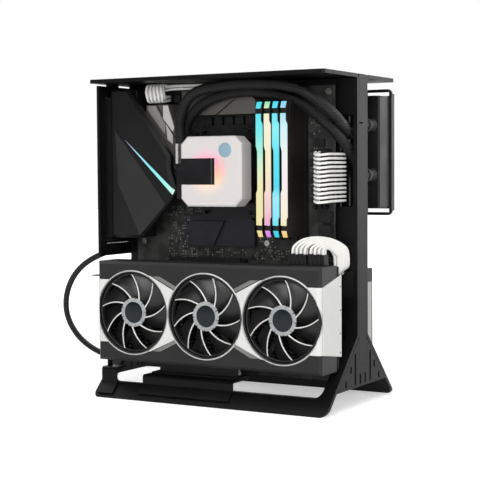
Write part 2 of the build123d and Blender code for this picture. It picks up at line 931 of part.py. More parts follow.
# Fan parts shared by the radiator, the card and the supply
def fan_blade(root_r, tip_r, chord, sweep_back, pitch, thick):
    """A pitched blade whose outline curves back towards a broad tip."""
    lead, trail = [], []
    stretch = 1 / math.cos(math.radians(pitch))
    for share in (0.0, 0.5, 1.0):
        radius = root_r + (tip_r - root_r) * share
        middle = math.radians(sweep_back) * (share ** 1.6 - 0.5)
        half = (chord[0] + (chord[1] - chord[0]) * share) / 2 / radius
        lead.append((radius * math.cos(middle + half), stretch * radius * math.sin(middle + half)))
        trail.append((radius * math.cos(middle - half), stretch * radius * math.sin(middle - half)))
    flat = along_y(outline(lead + trail[::-1]), -thick / 2, thick / 2)
    return Rot(pitch, 0, 0) * flat


def fan_rotor(x, z, front, depth, tip_r, hub_r, count, blade_args, ring, motor_side):
    """A hub bored from its motor's side, with blades and a ring where there is one."""
    middle = front + depth / 2
    chord, sweep_back, pitch, thick = blade_args
    blade_root = hub_r - 1.0
    blade_tip = tip_r - ring / 2 if ring else math.sqrt(tip_r ** 2 - (chord[1] / 4) ** 2)
    body = along_y(RegularPolygon(hub_r, hub_sides), -depth / 2, depth / 2)
    bore = sorted((0, motor_side * depth / 2))
    body -= pin_y(0, 0, shaft_r + running_gap, bore[0], bore[1])
    vane = fan_blade(blade_root, blade_tip, chord, sweep_back, pitch, thick)
    for i in range(count):
        body += Rot(0, 360 / count * i, 0) * vane
    if ring:
        band = RegularPolygon(tip_r, ring_sides) - RegularPolygon(tip_r - ring, ring_sides)
        body += along_y(band, -depth / 2 + 0.5, 0)
    return Pos(x, middle, z) * body


def duct_y(x, z, radius, start, end):
    """A many-sided round duct along Y."""
    return along_y(at(x, z, RegularPolygon(radius, duct_sides)), start, end)


def spider(x, z, span, y, reach, arms, shaft_front):
    """Motor base on arms, with the shaft that carries a rotor."""
    body = along_y(at(x, z, RegularPolygon(motor_r, hub_sides)), y[0], y[1])
    body += pin_y(x, z, shaft_r, shaft_front, y[0])
    for i in range(arms):
        arm = Box(reach, y[1] - y[0], span)
        turn = Rot(0, 360 / arms * i + 20, 0)
        body += Pos(x, sum(y) / 2, z) * turn * Pos(reach / 2, 0, 0) * arm
    return body


# Radiator side
radiator_blade = ((15.0, 30.0), 24.0, 17.0, 1.4)
fans_x = (-fan_size / 2, fan_size / 2)
rotor_gap = 1.2
radiator_rotor_r = fan_bore_r - rotor_gap
radiator_hub_r = 20.0
motor_y = (fan_front + 1.0, fan_front + 4.0)
radiator_rotor_front = motor_y[1] + 1.0
radiator_rotor_depth = fan_thick - 7.0


def radiator():
    """Finned core between two end tanks, with flat tubes as ridges."""
    half = radiator_length / 2
    body = block((-half, half), (radiator_front, radiator_rear), about(radiator_z, radiator_height))
    core = half - radiator_tank
    pitch = radiator_height / core_rows
    for i in range(core_rows):
        z = radiator_low + pitch * (i + 0.5)
        row = (z - core_groove / 2, z + core_groove / 2)
        body -= block((-core, core), (radiator_front, radiator_front + core_inset), row)
        body -= block((-core, core), (radiator_rear - core_inset, radiator_rear), row)
    for route in (upper_tube, lower_tube):
        x, y, z = route[-1]
        body += along_y(at(x, z, RegularPolygon(ferrule_r, tube_sides)), y, radiator_front + 1)
    return body


def fan_corner_holes(x):
    """Corner hole centres of one radiator fan."""
    reach = fan_holes / 2
    return [(x + a, radiator_z + b) for a in (-reach, reach) for b in (-reach, reach)]


def fan_frame(x):
    """A square fan frame with a round duct and a motor on four arms."""
    half = fan_size / 2
    rear = radiator_front - seat_gap
    square_plate = Rectangle(fan_size - slip_gap, fan_size)
    square_plate = chamfer(square_plate.vertices(), fan_corner)
    body = along_y(at(x, radiator_z, square_plate), fan_front, rear)
    pocket = half - fan_pocket
    for a in (-1, 1):
        for b in (-1, 1):
            px = sorted((x + a * pocket, x + a * half))
            pz = sorted((radiator_z + b * pocket, radiator_z + b * half))
            body -= block(px, (fan_front + fan_flange, rear - fan_flange), pz)
    body -= duct_y(x, radiator_z, fan_bore_r, fan_front, rear)
    shaft_end = radiator_rotor_front + radiator_rotor_depth / 2
    return body + spider(x, radiator_z, 5.0, motor_y, fan_bore_r + 1.0, 4, shaft_end)


def radiator_plate():
    """The rear plate with two round windows, long slots and side lips."""
    low = radiator_z - plate_height / 2
    y = (radiator_rear + seat_gap, radiator_rear + seat_gap + plate_sheet)
    face = at(0, radiator_z, RectangleRounded(bench_width, plate_height, plate_corner))
    body = along_y(face, y[0], y[1])
    for side in (-1, 1):
        x = sorted((side * half_width, side * (half_width - plate_sheet)))
        lip_z = (low + plate_corner, low + plate_height - plate_corner)
        body += block(x, (y[0], y[0] + plate_lip), lip_z)
    for x in fans_x:
        body -= duct_y(x, radiator_z, plate_window_r, y[0], y[1])
    long, wide = plate_slot
    for x in (-half_width + plate_slot_inset, 0, half_width - plate_slot_inset):
        for z in (low + plate_slot_edge, low + plate_height - plate_slot_edge):
            body -= along_y(at(x, z, Rectangle(long, wide)), y[0], y[1])
    return body


def spacers():
    """Six-sided spacers between the rear sheet and the fans."""
    pieces = []
    for x in fans_x:
        for hole_x, hole_z in fan_corner_holes(x):
            pieces.append(hexagon_y(hole_x, hole_z, spacer_r, rear_face, fan_front))
    return pieces


parts["radiator"] = radiator()
parts["fan_frames"] = [fan_frame(x) for x in fans_x]
for name, x in zip(("left", "right"), fans_x):
    parts[f"{name}_fan_rotor"] = fan_rotor(
        x, radiator_z, radiator_rotor_front, radiator_rotor_depth, radiator_rotor_r,
        radiator_hub_r, 7, radiator_blade, 0, -1
    )
parts["radiator_plate"] = radiator_plate()
parts["fan_spacers"] = spacers()


# Graphics card
card_blade = ((9.0, 18.0), 32.0, 16.0, 1.2)
shroud_inner_top = card_high - card_wall


def card_shroud():
    """The moulded front of the card, with three ducts and their motors."""
    body = block((card_left, card_right), (card_front, card_shroud_rear), (card_low, card_high))
    front_edges = body.faces().sort_by(Axis.Y)[0].edges()
    body = chamfer(front_edges, card_chamfer)
    hollow = (card_left + card_wall, card_right - card_wall)
    inner_z = (card_low + card_wall, shroud_inner_top)
    body -= block(hollow, (card_front + card_wall, card_shroud_rear), inner_z)
    notch = (power_socket_x[0] - 1.5, power_socket_x[1] + power_socket_pitch + 1.5)
    body -= block(notch, (power_socket_y[0] - 1.5, card_shroud_rear), (shroud_inner_top, card_high))
    gap = (finger_x[0] - 4, finger_x[1] + 4)
    body -= block(gap, (spider_y[1], card_shroud_rear), (card_low, card_low + card_wall))
    for x in card_fans_x:
        body -= duct_y(x, card_fans_z, card_bore_r, card_front, spider_y[0])
        shaft = pin_y(x, card_fans_z, shaft_r, card_rotor_front + card_rotor_depth / 2, spider_y[0])
        struts = shaft
        for lean in (-strut_lean, strut_lean):
            bar = Rot(0, lean, 0) * Box(strut_width, spider_y[1] - spider_y[0], 2 * (card_high - card_low))
            struts += Pos(x, sum(spider_y) / 2, card_fans_z) * bar
        bay = block((card_left, card_right), (card_front, card_shroud_rear), (card_low + 1, card_high - 1))
        body += struts & bay
    return body


def card_trim():
    """Pale panels round the fans and the pale cap on the right end."""
    y = (card_front - trim_thick, card_front)
    left, right = card_left + card_chamfer, card_right - card_chamfer
    first, middle, last = card_fans_x
    reach = trim_peak * math.cos(math.radians(60))
    rise = trim_peak * math.sin(math.radians(60))
    upper = [(left, trim_z[1]), (first, trim_z[1]), (first + reach, card_fans_z + rise)]
    upper += [(middle - card_bore_r + 8, trim_waist[1]), (middle + card_bore_r - 8, trim_waist[1])]
    upper += [(last - reach, card_fans_z + rise), (last, trim_z[1]), (right, trim_z[1])]
    lower = [(left, trim_z[0]), (first, trim_z[0]), (first + reach, card_fans_z - rise)]
    lower += [(middle - card_bore_r + 8, trim_waist[0]), (middle + card_bore_r - 8, trim_waist[0])]
    lower += [(last - reach, card_fans_z - rise), (last, trim_z[0]), (right, trim_z[0])]
    panel = along_y(outline(upper + lower[::-1]), y[0], y[1])
    for x in card_fans_x:
        panel += duct_y(x, card_fans_z, card_bore_r + card_ring, y[0], y[1])
    for x in card_fans_x:
        panel -= duct_y(x, card_fans_z, card_bore_r, y[0], y[1])
    edge = 0.5
    panel &= block((card_left + edge, card_right - edge), y, (card_low, card_high))
    cap = (
        (card_front + card_chamfer, trim_z[0]),
        (card_shroud_rear, trim_cap_z[0]),
        (card_shroud_rear, trim_cap_z[1]),
        (card_front + card_chamfer, trim_z[1]),
    )
    end = along_x(outline(cap), card_right, card_right + trim_thick)
    return panel.solids() + [end]


def card_heatsink():
    """The fin stack behind the card's fans."""
    inset = card_wall + 1.0
    x = (card_left + inset, card_right - inset)
    body = block(x, fin_block_y, (card_low + inset, shroud_inner_top - 1.0))
    sockets = (power_socket_x[0] - 1.0, x[1])
    body -= block(sockets, (power_socket_y[0] - 1.0, fin_block_y[1]), (card_high - 24.0, card_high))
    count = int((x[1] - x[0]) // fin_pitch)
    depth = fin_block_y[1] - fin_block_y[0] - 3.0
    for i in range(count):
        left = x[0] + fin_pitch * (i + 0.5) - fin_slot / 2
        cut = (left, left + fin_slot)
        body -= block(cut, (fin_block_y[0], fin_block_y[0] + depth), (card_low, card_high))
    return body


def card_board():
    """The card's circuit board with its edge contacts and power sockets."""
    inset = card_wall
    z = (card_low + inset, card_high - inset)
    body = block((card_left + inset, card_right - inset), card_board_y, z)
    body += block(finger_x, card_board_y, (finger_low, card_low + inset))
    for i in range(2):
        x = [edge + power_socket_pitch * i for edge in power_socket_x]
        body += block(x, power_socket_y, (card_high - 22.0, card_high))
    return body


def card_backplate():
    """The plate behind the card's board, on four posts."""
    edge = 1.5
    body = block((card_left + edge, card_right - edge), backplate_y, (card_low + edge, card_high - edge))
    for x in (card_fans_x[0], card_fans_x[2]):
        for z in (card_low + post_inset, card_high - post_inset):
            body += hexagon_y(x, z, post_r, card_board_y[1] + seat_gap, backplate_y[0])
    return body


def slot_bracket():
    """The card's slot bracket, with its bent fixing tab."""
    x = (card_left - bracket_sheet, card_left)
    y = (card_front + card_chamfer + 2, backplate_y[1])
    body = block(x, y, (card_low + 1.0, bracket_tab_z))
    body += block((x[0] - bracket_tab, x[1]), y, (bracket_tab_z, bracket_tab_z + bracket_sheet))
    tongue = (holder_web_y + 4.0, holder_shelf_rear - 4.0)
    body += block(x, tongue, (bracket_low, card_low + 1.0))
    for i in range(6):
        low = card_low + 12.0 + 12.0 * i
        body -= block(x, (y[0] + 4.0, y[0] + 20.0), (low, low + 7.0))
    return body


parts["card_shroud"] = card_shroud()
parts["card_trim"] = card_trim()
parts["card_heatsink"] = card_heatsink()
parts["card_board"] = card_board()
parts["card_backplate"] = card_backplate()
parts["slot_bracket"] = slot_bracket()
for i, x in enumerate(card_fans_x, 1):
    parts[f"card_fan_rotor_{i}"] = fan_rotor(
        x, card_fans_z, card_rotor_front, card_rotor_depth, card_rotor_r,
        card_hub_r, 9, card_blade, card_rotor_ring, 1
    )


# Riser
def riser_cable():
    """Riser board and slot, the ribbon behind the card and its plug."""
    shelf_top = riser_shelf_z + riser_sheet + seat_gap
    top = shelf_top + riser_board
    slot = (riser_slot_y - card_slot_width / 2, riser_slot_y + card_slot_width / 2)
    body = block((riser_x[0] + 3, riser_x[1] - 1), (riser_slot_y - 9, ribbon_y), (shelf_top, top))
    rest = block((card_slot_x[0], riser_latch_x + latch_width / 2), slot, (top, top + riser_slot_tall))
    key = slot_groove / 2
    right = riser_latch_x + latch_width / 2
    mouth_z = top + riser_slot_tall
    rest -= block((finger_x[0] - 1, right), about(riser_slot_y, 2 * key), (finger_low - 1, mouth_z))
    fork = latch_width / 2 + slip_gap / 2
    rest -= block((finger_x[1] + 1.5, right), about(riser_slot_y, 2 * fork), (top, mouth_z))
    body += rest
    head_z = card_slots_z[0]
    band = block(ribbon_x, (ribbon_y, ribbon_y + ribbon_thick), (shelf_top, head_z + 5))
    mouth = board_front - card_slot_tall - seat_gap
    head = block((card_slot_x[0] + 1, card_slot_x[1] - 1), (ribbon_y, mouth), (head_z - 5, head_z + 5))
    return body + band + head


def riser_latch():
    """The small lever at the right end of the riser slot."""
    heel = at(riser_latch_x, riser_latch_z, RegularPolygon(latch_heel_r, tube_sides))
    reach = 7.0
    arm = at(riser_latch_x, riser_latch_z + reach / 2, Rectangle(latch_arm, reach))
    return along_y(heel + arm, riser_slot_y - latch_width / 2, riser_slot_y + latch_width / 2)


parts["riser_cable"] = riser_cable()
parts["riser_latch"] = riser_latch()


# Power supply
supply_mid_x = sum(supply_x) / 2
supply_mid_z = sum(supply_z) / 2
supply_mid_y = (supply_front + supply_rear) / 2
supply_fan_y = (supply_rear - supply_wall - supply_fan_depth, supply_rear - supply_wall)
supply_motor_y = (supply_fan_y[0] + 2.0, supply_fan_y[0] + 5.0)
supply_rotor_front = supply_motor_y[1] + 1.0
supply_blade = ((13.0, 26.0), 24.0, 13.0, 1.3)


def supply_case():
    """The folded case with its fan bay, slotted grille and inlet cut-out."""
    body = block(supply_x, (supply_front, supply_rear), supply_z)
    body -= duct_y(supply_mid_x, supply_mid_z, supply_fan_r, supply_fan_y[0], supply_fan_y[1])
    rows = int(grille_r // grille_pitch)
    for i in range(-rows, rows + 1):
        z = grille_pitch * i
        reach = math.sqrt(grille_r ** 2 - z ** 2) - 1.0
        for side in (-1, 1):
            x = sorted((supply_mid_x + side * 2.0, supply_mid_x + side * max(reach, 6.0)))
            row = (supply_mid_z + z - grille_slot / 2, supply_mid_z + z + grille_slot / 2)
            body -= block(x, (supply_fan_y[1], supply_rear), row)
    shaft_end = supply_rotor_front + supply_rotor_depth / 2
    body += spider(supply_mid_x, supply_mid_z, 5.0, supply_motor_y, supply_fan_r, 4, shaft_end)
    wide, deep = inlet_socket
    top = supply_z[1]
    body -= block(about(inlet_x, wide), about(supply_mid_y, deep), (top - well_depth, top))
    rocker_y = about(supply_mid_y, switch_deep - 4)
    body -= block(about(switch_x, switch_frame - 3), rocker_y, (top - well_depth, top))
    return body


def supply_inlet():
    """Inlet socket and switch frame on the top of the supply."""
    top = supply_z[1] + seat_gap
    wide, deep = inlet_size
    y = (supply_mid_y - deep / 2, supply_mid_y + deep / 2)
    socket = block((inlet_x - wide / 2, inlet_x + wide / 2), y, (top, top + inlet_tall))
    inner_w, inner_d = inlet_socket
    drop_x = about(inlet_x, inner_w - 2 * slip_gap)
    drop = block(drop_x, about(supply_mid_y, inner_d - 2 * slip_gap), (top - well_depth + 2, top))
    socket += drop
    for x in (-7.0, 0.0, 7.0):
        y_pin = supply_mid_y + (2.0 if x else -2.5)
        socket -= block(about(inlet_x + x, 2.4), about(y_pin, 4.8), (top - 8, top + inlet_tall))
    frame = block(about(switch_x, switch_frame), about(supply_mid_y, switch_deep), (top, top + inlet_tall))
    skirt = about(supply_mid_y, switch_deep - 5)
    frame += block(about(switch_x, switch_frame - 4), skirt, (top - well_depth + 2, top))
    well = math.hypot(switch_r, switch_rise) + swing_gap
    mouth = about(supply_mid_y, switch_width + 2 * slip_gap)
    frame -= block(about(switch_x, 2 * well), mouth, (top - well, top + inlet_tall))
    return [socket, frame]


def supply_switch():
    """A rocker with a dished face, resting on one side."""
    top = supply_z[1] + seat_gap
    keel = switch_r * 0.45
    dish = switch_rise - 1.2
    profile = (
        (-switch_r, 0),
        (-keel, -switch_r + swing_gap),
        (keel, -switch_r + swing_gap),
        (switch_r, 0),
        (switch_r, switch_rise),
        (0, dish),
        (-switch_r, switch_rise),
    )
    body = along_y(outline(profile), -switch_width / 2, switch_width / 2)
    return Pos(switch_x, supply_mid_y, top) * Rot(0, -switch_tilt, 0) * body


parts["supply_case"] = supply_case()
parts["supply_inlet"] = supply_inlet()
parts["supply_switch"] = supply_switch()
parts["supply_fan_rotor"] = fan_rotor(
    supply_mid_x, supply_mid_z, supply_rotor_front, supply_rotor_depth, supply_fan_r - 1.5,
    supply_hub_r, 7, supply_blade, 0, -1
)


# Cables inside the bench, from the supply's underside up through the spine
spine_y = (front_inner + rear_inner) / 2
trunk_y = spine_y - 1.8
supply_dip = 22.0


def main_cable():
    """The broad cable of the board, with its plug, and its trunk in the spine."""
    wide, tall = main_plug
    z = (main_plug_z - tall / 2, main_plug_z + tall / 2)
    socket_front = board_front - main_socket_tall
    plug = block(about(main_plug_x, wide), (main_plug_front, socket_front - seat_gap), z)
    line = Polyline(
        (main_plug_x, main_plug_front),
        (main_plug_x, main_plug_front - 8),
        (main_plug_x + 3, main_plug_front - 14),
        (main_plug_x + 9, main_plug_front - 17),
        (slot_mid - 4, main_plug_front - 14),
        (slot_mid + 1, main_plug_front - 8),
        (slot_mid + 1, front_inner + 1.5),
    )
    profile = Face(line.offset_2d(main_band / 2, kind=Kind.INTERSECTION))
    band = along_z(profile, z[0] + 1, z[1] - 1)
    route = (
        (slot_mid - 2, trunk_y, z[0] + 8),
        (slot_mid - 2, trunk_y, z[0] - 22),
        (88.0, trunk_y, z[0] - 52),
        (88.0, trunk_y, supply_dip),
        (88.0, supply_mid_y, supply_dip),
        (88.0, supply_mid_y, supply_z[0]),
    )
    return [plug, band + trunk(route, trunk_r, bundle_sides)]


def processor_cable():
    """The processor's power cable, over the board's top edge into the spine."""
    socket_front = board_front - eps_socket_tall
    plug = block(eps_plug_x, (eps_plug_front, socket_front - seat_gap), eps_plug_z)
    small_plug = block(small_plug_x, (eps_plug_front, socket_front - seat_gap), eps_plug_z)
    mid_z = sum(eps_plug_z) / 2
    over = flange_under - bend_radius - top_slot_height / 2
    reach = eps_plug_front - 12
    line = Polyline(
        (eps_plug_front, mid_z),
        (reach + 3, mid_z),
        (reach, mid_z + 3),
        (reach, over - 3),
        (reach + 3, over),
        (spine_y - 3, over),
        (spine_y, over - 3),
        (spine_y, over - 26),
    )
    profile = Face(line.offset_2d(eps_band / 2, kind=Kind.INTERSECTION))
    band = along_x(profile, eps_plug_x[0] + 1, eps_plug_x[1] - 1)
    mid_x = sum(eps_plug_x) / 2
    route = (
        (mid_x, spine_y, over - 24),
        (mid_x, spine_y, 190.0),
        (8.0, spine_y, 90.0),
        (8.0, spine_y, supply_dip),
        (8.0, supply_mid_y, supply_dip),
        (8.0, supply_mid_y, supply_z[0]),
    )
    hidden = trunk(route, bundle_r, bundle_sides)
    branch_route = (
        (-64.0, eps_plug_front, mid_z),
        (-64.0, eps_plug_front - 7, mid_z),
        (-62.0, eps_plug_front - 6, over + 0.3),
        (-34.0, eps_plug_front + 1, over + 0.5),
        (-11.0, eps_plug_front + 8, over + 0.3),
        (-11.0, spine_y, over + 0.4),
    )
    branch = hose(branch_route, branch_r, 6, bundle_runs)
    return [plug, band + hidden, small_plug, branch]


def card_cable():
    """Two power leads of the graphics card, down into the lower slot."""
    pieces = []
    plug_low = card_high + seat_gap
    plug_high = plug_low + power_plug_tall
    y = (power_socket_y[0] + 0.5, power_socket_y[1] - 1.0)
    mid_y = sum(y) / 2
    for i in range(2):
        x = [edge + power_socket_pitch * i for edge in power_socket_x]
        pieces.append(block(x, y, (plug_low, plug_high)))
        start = sum(x) / 2
        drop = 144.0 - 14.0 * i
        route = (
            (start, mid_y, plug_high),
            (start + 1, mid_y, plug_high + 13 - 3 * i),
            (slot_mid + 3.0, -36.0 + 2 * i, plug_high + 8 - 6 * i),
            (slot_mid + 2.0, -27.0, drop),
            (slot_mid, spine_y - 1 + 2 * i, drop - 2),
        )
        pieces.append(hose(route, card_bundle_r, 6, bundle_runs))
    route = (
        (slot_mid - 4.0, spine_y, 150.0),
        (slot_mid - 4.0, spine_y, 104.0),
        (106.0, spine_y, 76.0),
        (106.0, spine_y, supply_dip),
        (106.0, supply_mid_y, supply_dip),
        (106.0, supply_mid_y, supply_z[0]),
    )
    pieces.append(trunk(route, trunk_r, bundle_sides))
    return pieces


parts["main_cable"] = main_cable()
parts["processor_cable"] = processor_cable()
parts["card_cable"] = card_cable()


# Mains lead
def lead_connector():
    """The angled connector in the supply's inlet, with its strain relief."""
    wide, deep, tall = connector_size
    base = supply_z[1] + seat_gap + inlet_tall + seat_gap
    x, y, z = lead_route[0]
    body = block(about(inlet_x, wide), about(y, deep), (base, base + tall))
    body = chamfer(body.edges().filter_by(Axis.Y), 3.0)
    left = inlet_x - wide / 2
    wide_end = Plane.YZ.offset(left) * at(y, z, RegularPolygon(relief_r, bundle_sides))
    thin_end = Plane.YZ.offset(x) * at(y, z, RegularPolygon(lead_r + 0.8, bundle_sides))
    return body + loft([wide_end, thin_end], ruled=True)


def plug_stub(radius):
    """The short end of the lead between the coil and the plug."""
    x, y = plug_at
    return along_y(at(x, stub_z, RegularPolygon(radius, bundle_sides)), stub_start, y)


def lead_coil():
    """The outer shape of the coiled, put-away length."""
    outer = RegularPolygon(coil_r + coil_width / 2, coil_sides)
    ring = outer - RegularPolygon(coil_r - coil_width / 2, coil_sides)
    coil = Pos(*coil_centre, 0) * along_z(ring, 0, coil_tall)
    return coil - tube(lead_route, lead_r + seat_gap, bundle_sides) - plug_stub(lead_r + seat_gap)


def lead_plug():
    """The wall plug that lies beside the coil, with its three contacts."""
    x, y = plug_at
    wide, long, tall = plug_size
    body = block((x - wide / 2, x + wide / 2), (y, y + long), (0, tall))
    body = chamfer(body.edges().filter_by(Axis.Y), 5.0)
    thick, reach, high = blade
    middle = tall / 2 + 2.0
    for side in (-1, 1):
        bx = x + side * blade_spacing / 2
        body += block(about(bx, thick), (y + long, y + long + reach), about(middle, high))
    body += hexagon_y(x, middle - 8.0, 2.4, y + long, y + long + reach + 2)
    return body + plug_stub(lead_r)


parts["lead_connector"] = lead_connector()
parts["mains_lead"] = tube(lead_route, lead_r, bundle_sides)
parts["lead_coil"] = lead_coil()
parts["lead_plug"] = lead_plug()


# Write each piece to its own file
os.makedirs("parts", exist_ok=True)
for name, shape in parts.items():
    if isinstance(shape, list):
        solids = [solid for piece in shape for solid in piece.solids()]
        shape = Compound(children=solids)
    export_step(shape, os.path.join("parts", f"{name}.step"))

lead_bends = bend_radii(lead_route)
route_length = FilletPolyline(*lead_route, radius=lead_bends).length
filled = parts["mains_lead"].volume / (RegularPolygon(lead_r, bundle_sides).area * route_length)
print("nodes", len(parts))
print("lead bends", [round(r) for r in lead_bends])
print("lead route", round(route_length), "volume share", round(filled, 4))
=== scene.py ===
"""Looks of the open air test bench: finishes for its solids, and the finer pieces."""
import logging
import math
from dataclasses import dataclass, replace
from enum import Enum
from typing import Any, Mapping, Sequence

import bpy
import numpy as np
from mathutils import Matrix, Vector


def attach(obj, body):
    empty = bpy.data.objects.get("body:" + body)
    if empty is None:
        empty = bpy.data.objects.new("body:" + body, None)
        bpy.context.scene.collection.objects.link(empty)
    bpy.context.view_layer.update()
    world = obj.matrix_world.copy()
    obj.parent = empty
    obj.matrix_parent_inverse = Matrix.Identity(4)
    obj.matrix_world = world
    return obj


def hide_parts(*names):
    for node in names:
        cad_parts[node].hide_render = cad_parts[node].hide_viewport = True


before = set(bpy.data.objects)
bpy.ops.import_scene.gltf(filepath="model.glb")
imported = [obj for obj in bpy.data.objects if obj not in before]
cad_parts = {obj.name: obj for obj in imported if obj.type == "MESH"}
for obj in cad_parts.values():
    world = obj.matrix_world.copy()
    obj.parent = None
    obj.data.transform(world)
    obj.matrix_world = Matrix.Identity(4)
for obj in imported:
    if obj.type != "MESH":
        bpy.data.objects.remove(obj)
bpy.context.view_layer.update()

MM = 0.001
BENCH = "bench"
WHITE = (1.0, 1.0, 1.0, 1.0)
# A wave texture runs through one wave in this much of its coordinate, along an axis and along the diagonal.
AXIS_WAVE = 2 * math.pi / 20
DIAGONAL_WAVE = 2 * math.pi / 10
log = logging.getLogger("test_bench")
Point = Sequence[float]
Points = Sequence[Point]
Run = tuple[tuple[float, str], ...]


class Axis(Enum):
    """The axes of the shared frame, each with its place in a point."""

    X = 0
    Y = 1
    Z = 2


class Surface(Enum):
    """How a finish's surface was made, which picks its pattern.

    Each value says where the shading starts and ends on the pattern's height, and the share of the colour left in its
    hollows: painted shade in the gaps of braids and weaves and between fins, the tone of brush lines and copper lanes
    elsewhere.
    """

    GRAINED = (0.0, 1.0, 1.0)
    BRUSHED = (0.3, 0.7, 0.8)
    BRAIDED = (0.25, 0.9, 0.45)
    WOVEN = (0.25, 0.9, 0.8)
    LAMINATE = (0.3, 0.75, 0.42)
    FINNED = (0.2, 0.8, 0.15)


def linear(code: str) -> tuple[float, float, float, float]:
    """Turns an sRGB hex colour into linear light.

    Args:
        code: six hex digits after a hash mark.

    Returns:
        Red, green and blue in linear light, and 1 for alpha.
    """
    shares = [int(code[i:i + 2], 16) / 255 for i in (1, 3, 5)]
    red, green, blue = (s / 12.92 if s <= 0.04045 else ((s + 0.055) / 1.055) ** 2.4 for s in shares)
    return red, green, blue, 1.0


def feed(tree: bpy.types.NodeTree, node: bpy.types.Node, inputs: Mapping) -> None:
    """Sets a node's inputs.

    Args:
        tree: the node tree.
        node: the node.
        inputs: socket names or numbers with values, or with sockets to link from.
    """
    for key, value in inputs.items():
        if isinstance(value, bpy.types.NodeSocket):
            tree.links.new(value, node.inputs[key])
        else:
            node.inputs[key].default_value = value


def add_node(tree: bpy.types.NodeTree, kind: str, inputs: Mapping | None = None, **settings: Any) -> bpy.types.Node:
    """Adds a node, sets it up and links it.

    Args:
        tree: the node tree.
        kind: Blender's name for the node type.
        inputs: socket names or numbers with values, or with sockets to link from.
        settings: the node's own settings; stops fills a colour ramp.

    Returns:
        The new node.
    """
    node = tree.nodes.new(kind)
    stops = settings.pop("stops", ())
    for name, value in settings.items():
        setattr(node, name, value)
    for number, (place, colour) in enumerate(stops):
        ramp = node.color_ramp.elements
        stop = ramp[number] if number < len(ramp) else ramp.new(place)
        stop.position, stop.color = place, colour
    feed(tree, node, inputs or {})
    return node


def new_material(name: str) -> tuple[bpy.types.Material, bpy.types.Node, bpy.types.Node]:
    """Starts a material with nodes.

    Args:
        name: the real material's name.

    Returns:
        The material, its shader, and a node that gives the coordinates.
    """
    made = bpy.data.materials.new(name)
    made.use_nodes = True
    return made, made.node_tree.nodes["Principled BSDF"], add_node(made.node_tree, "ShaderNodeTexCoord")


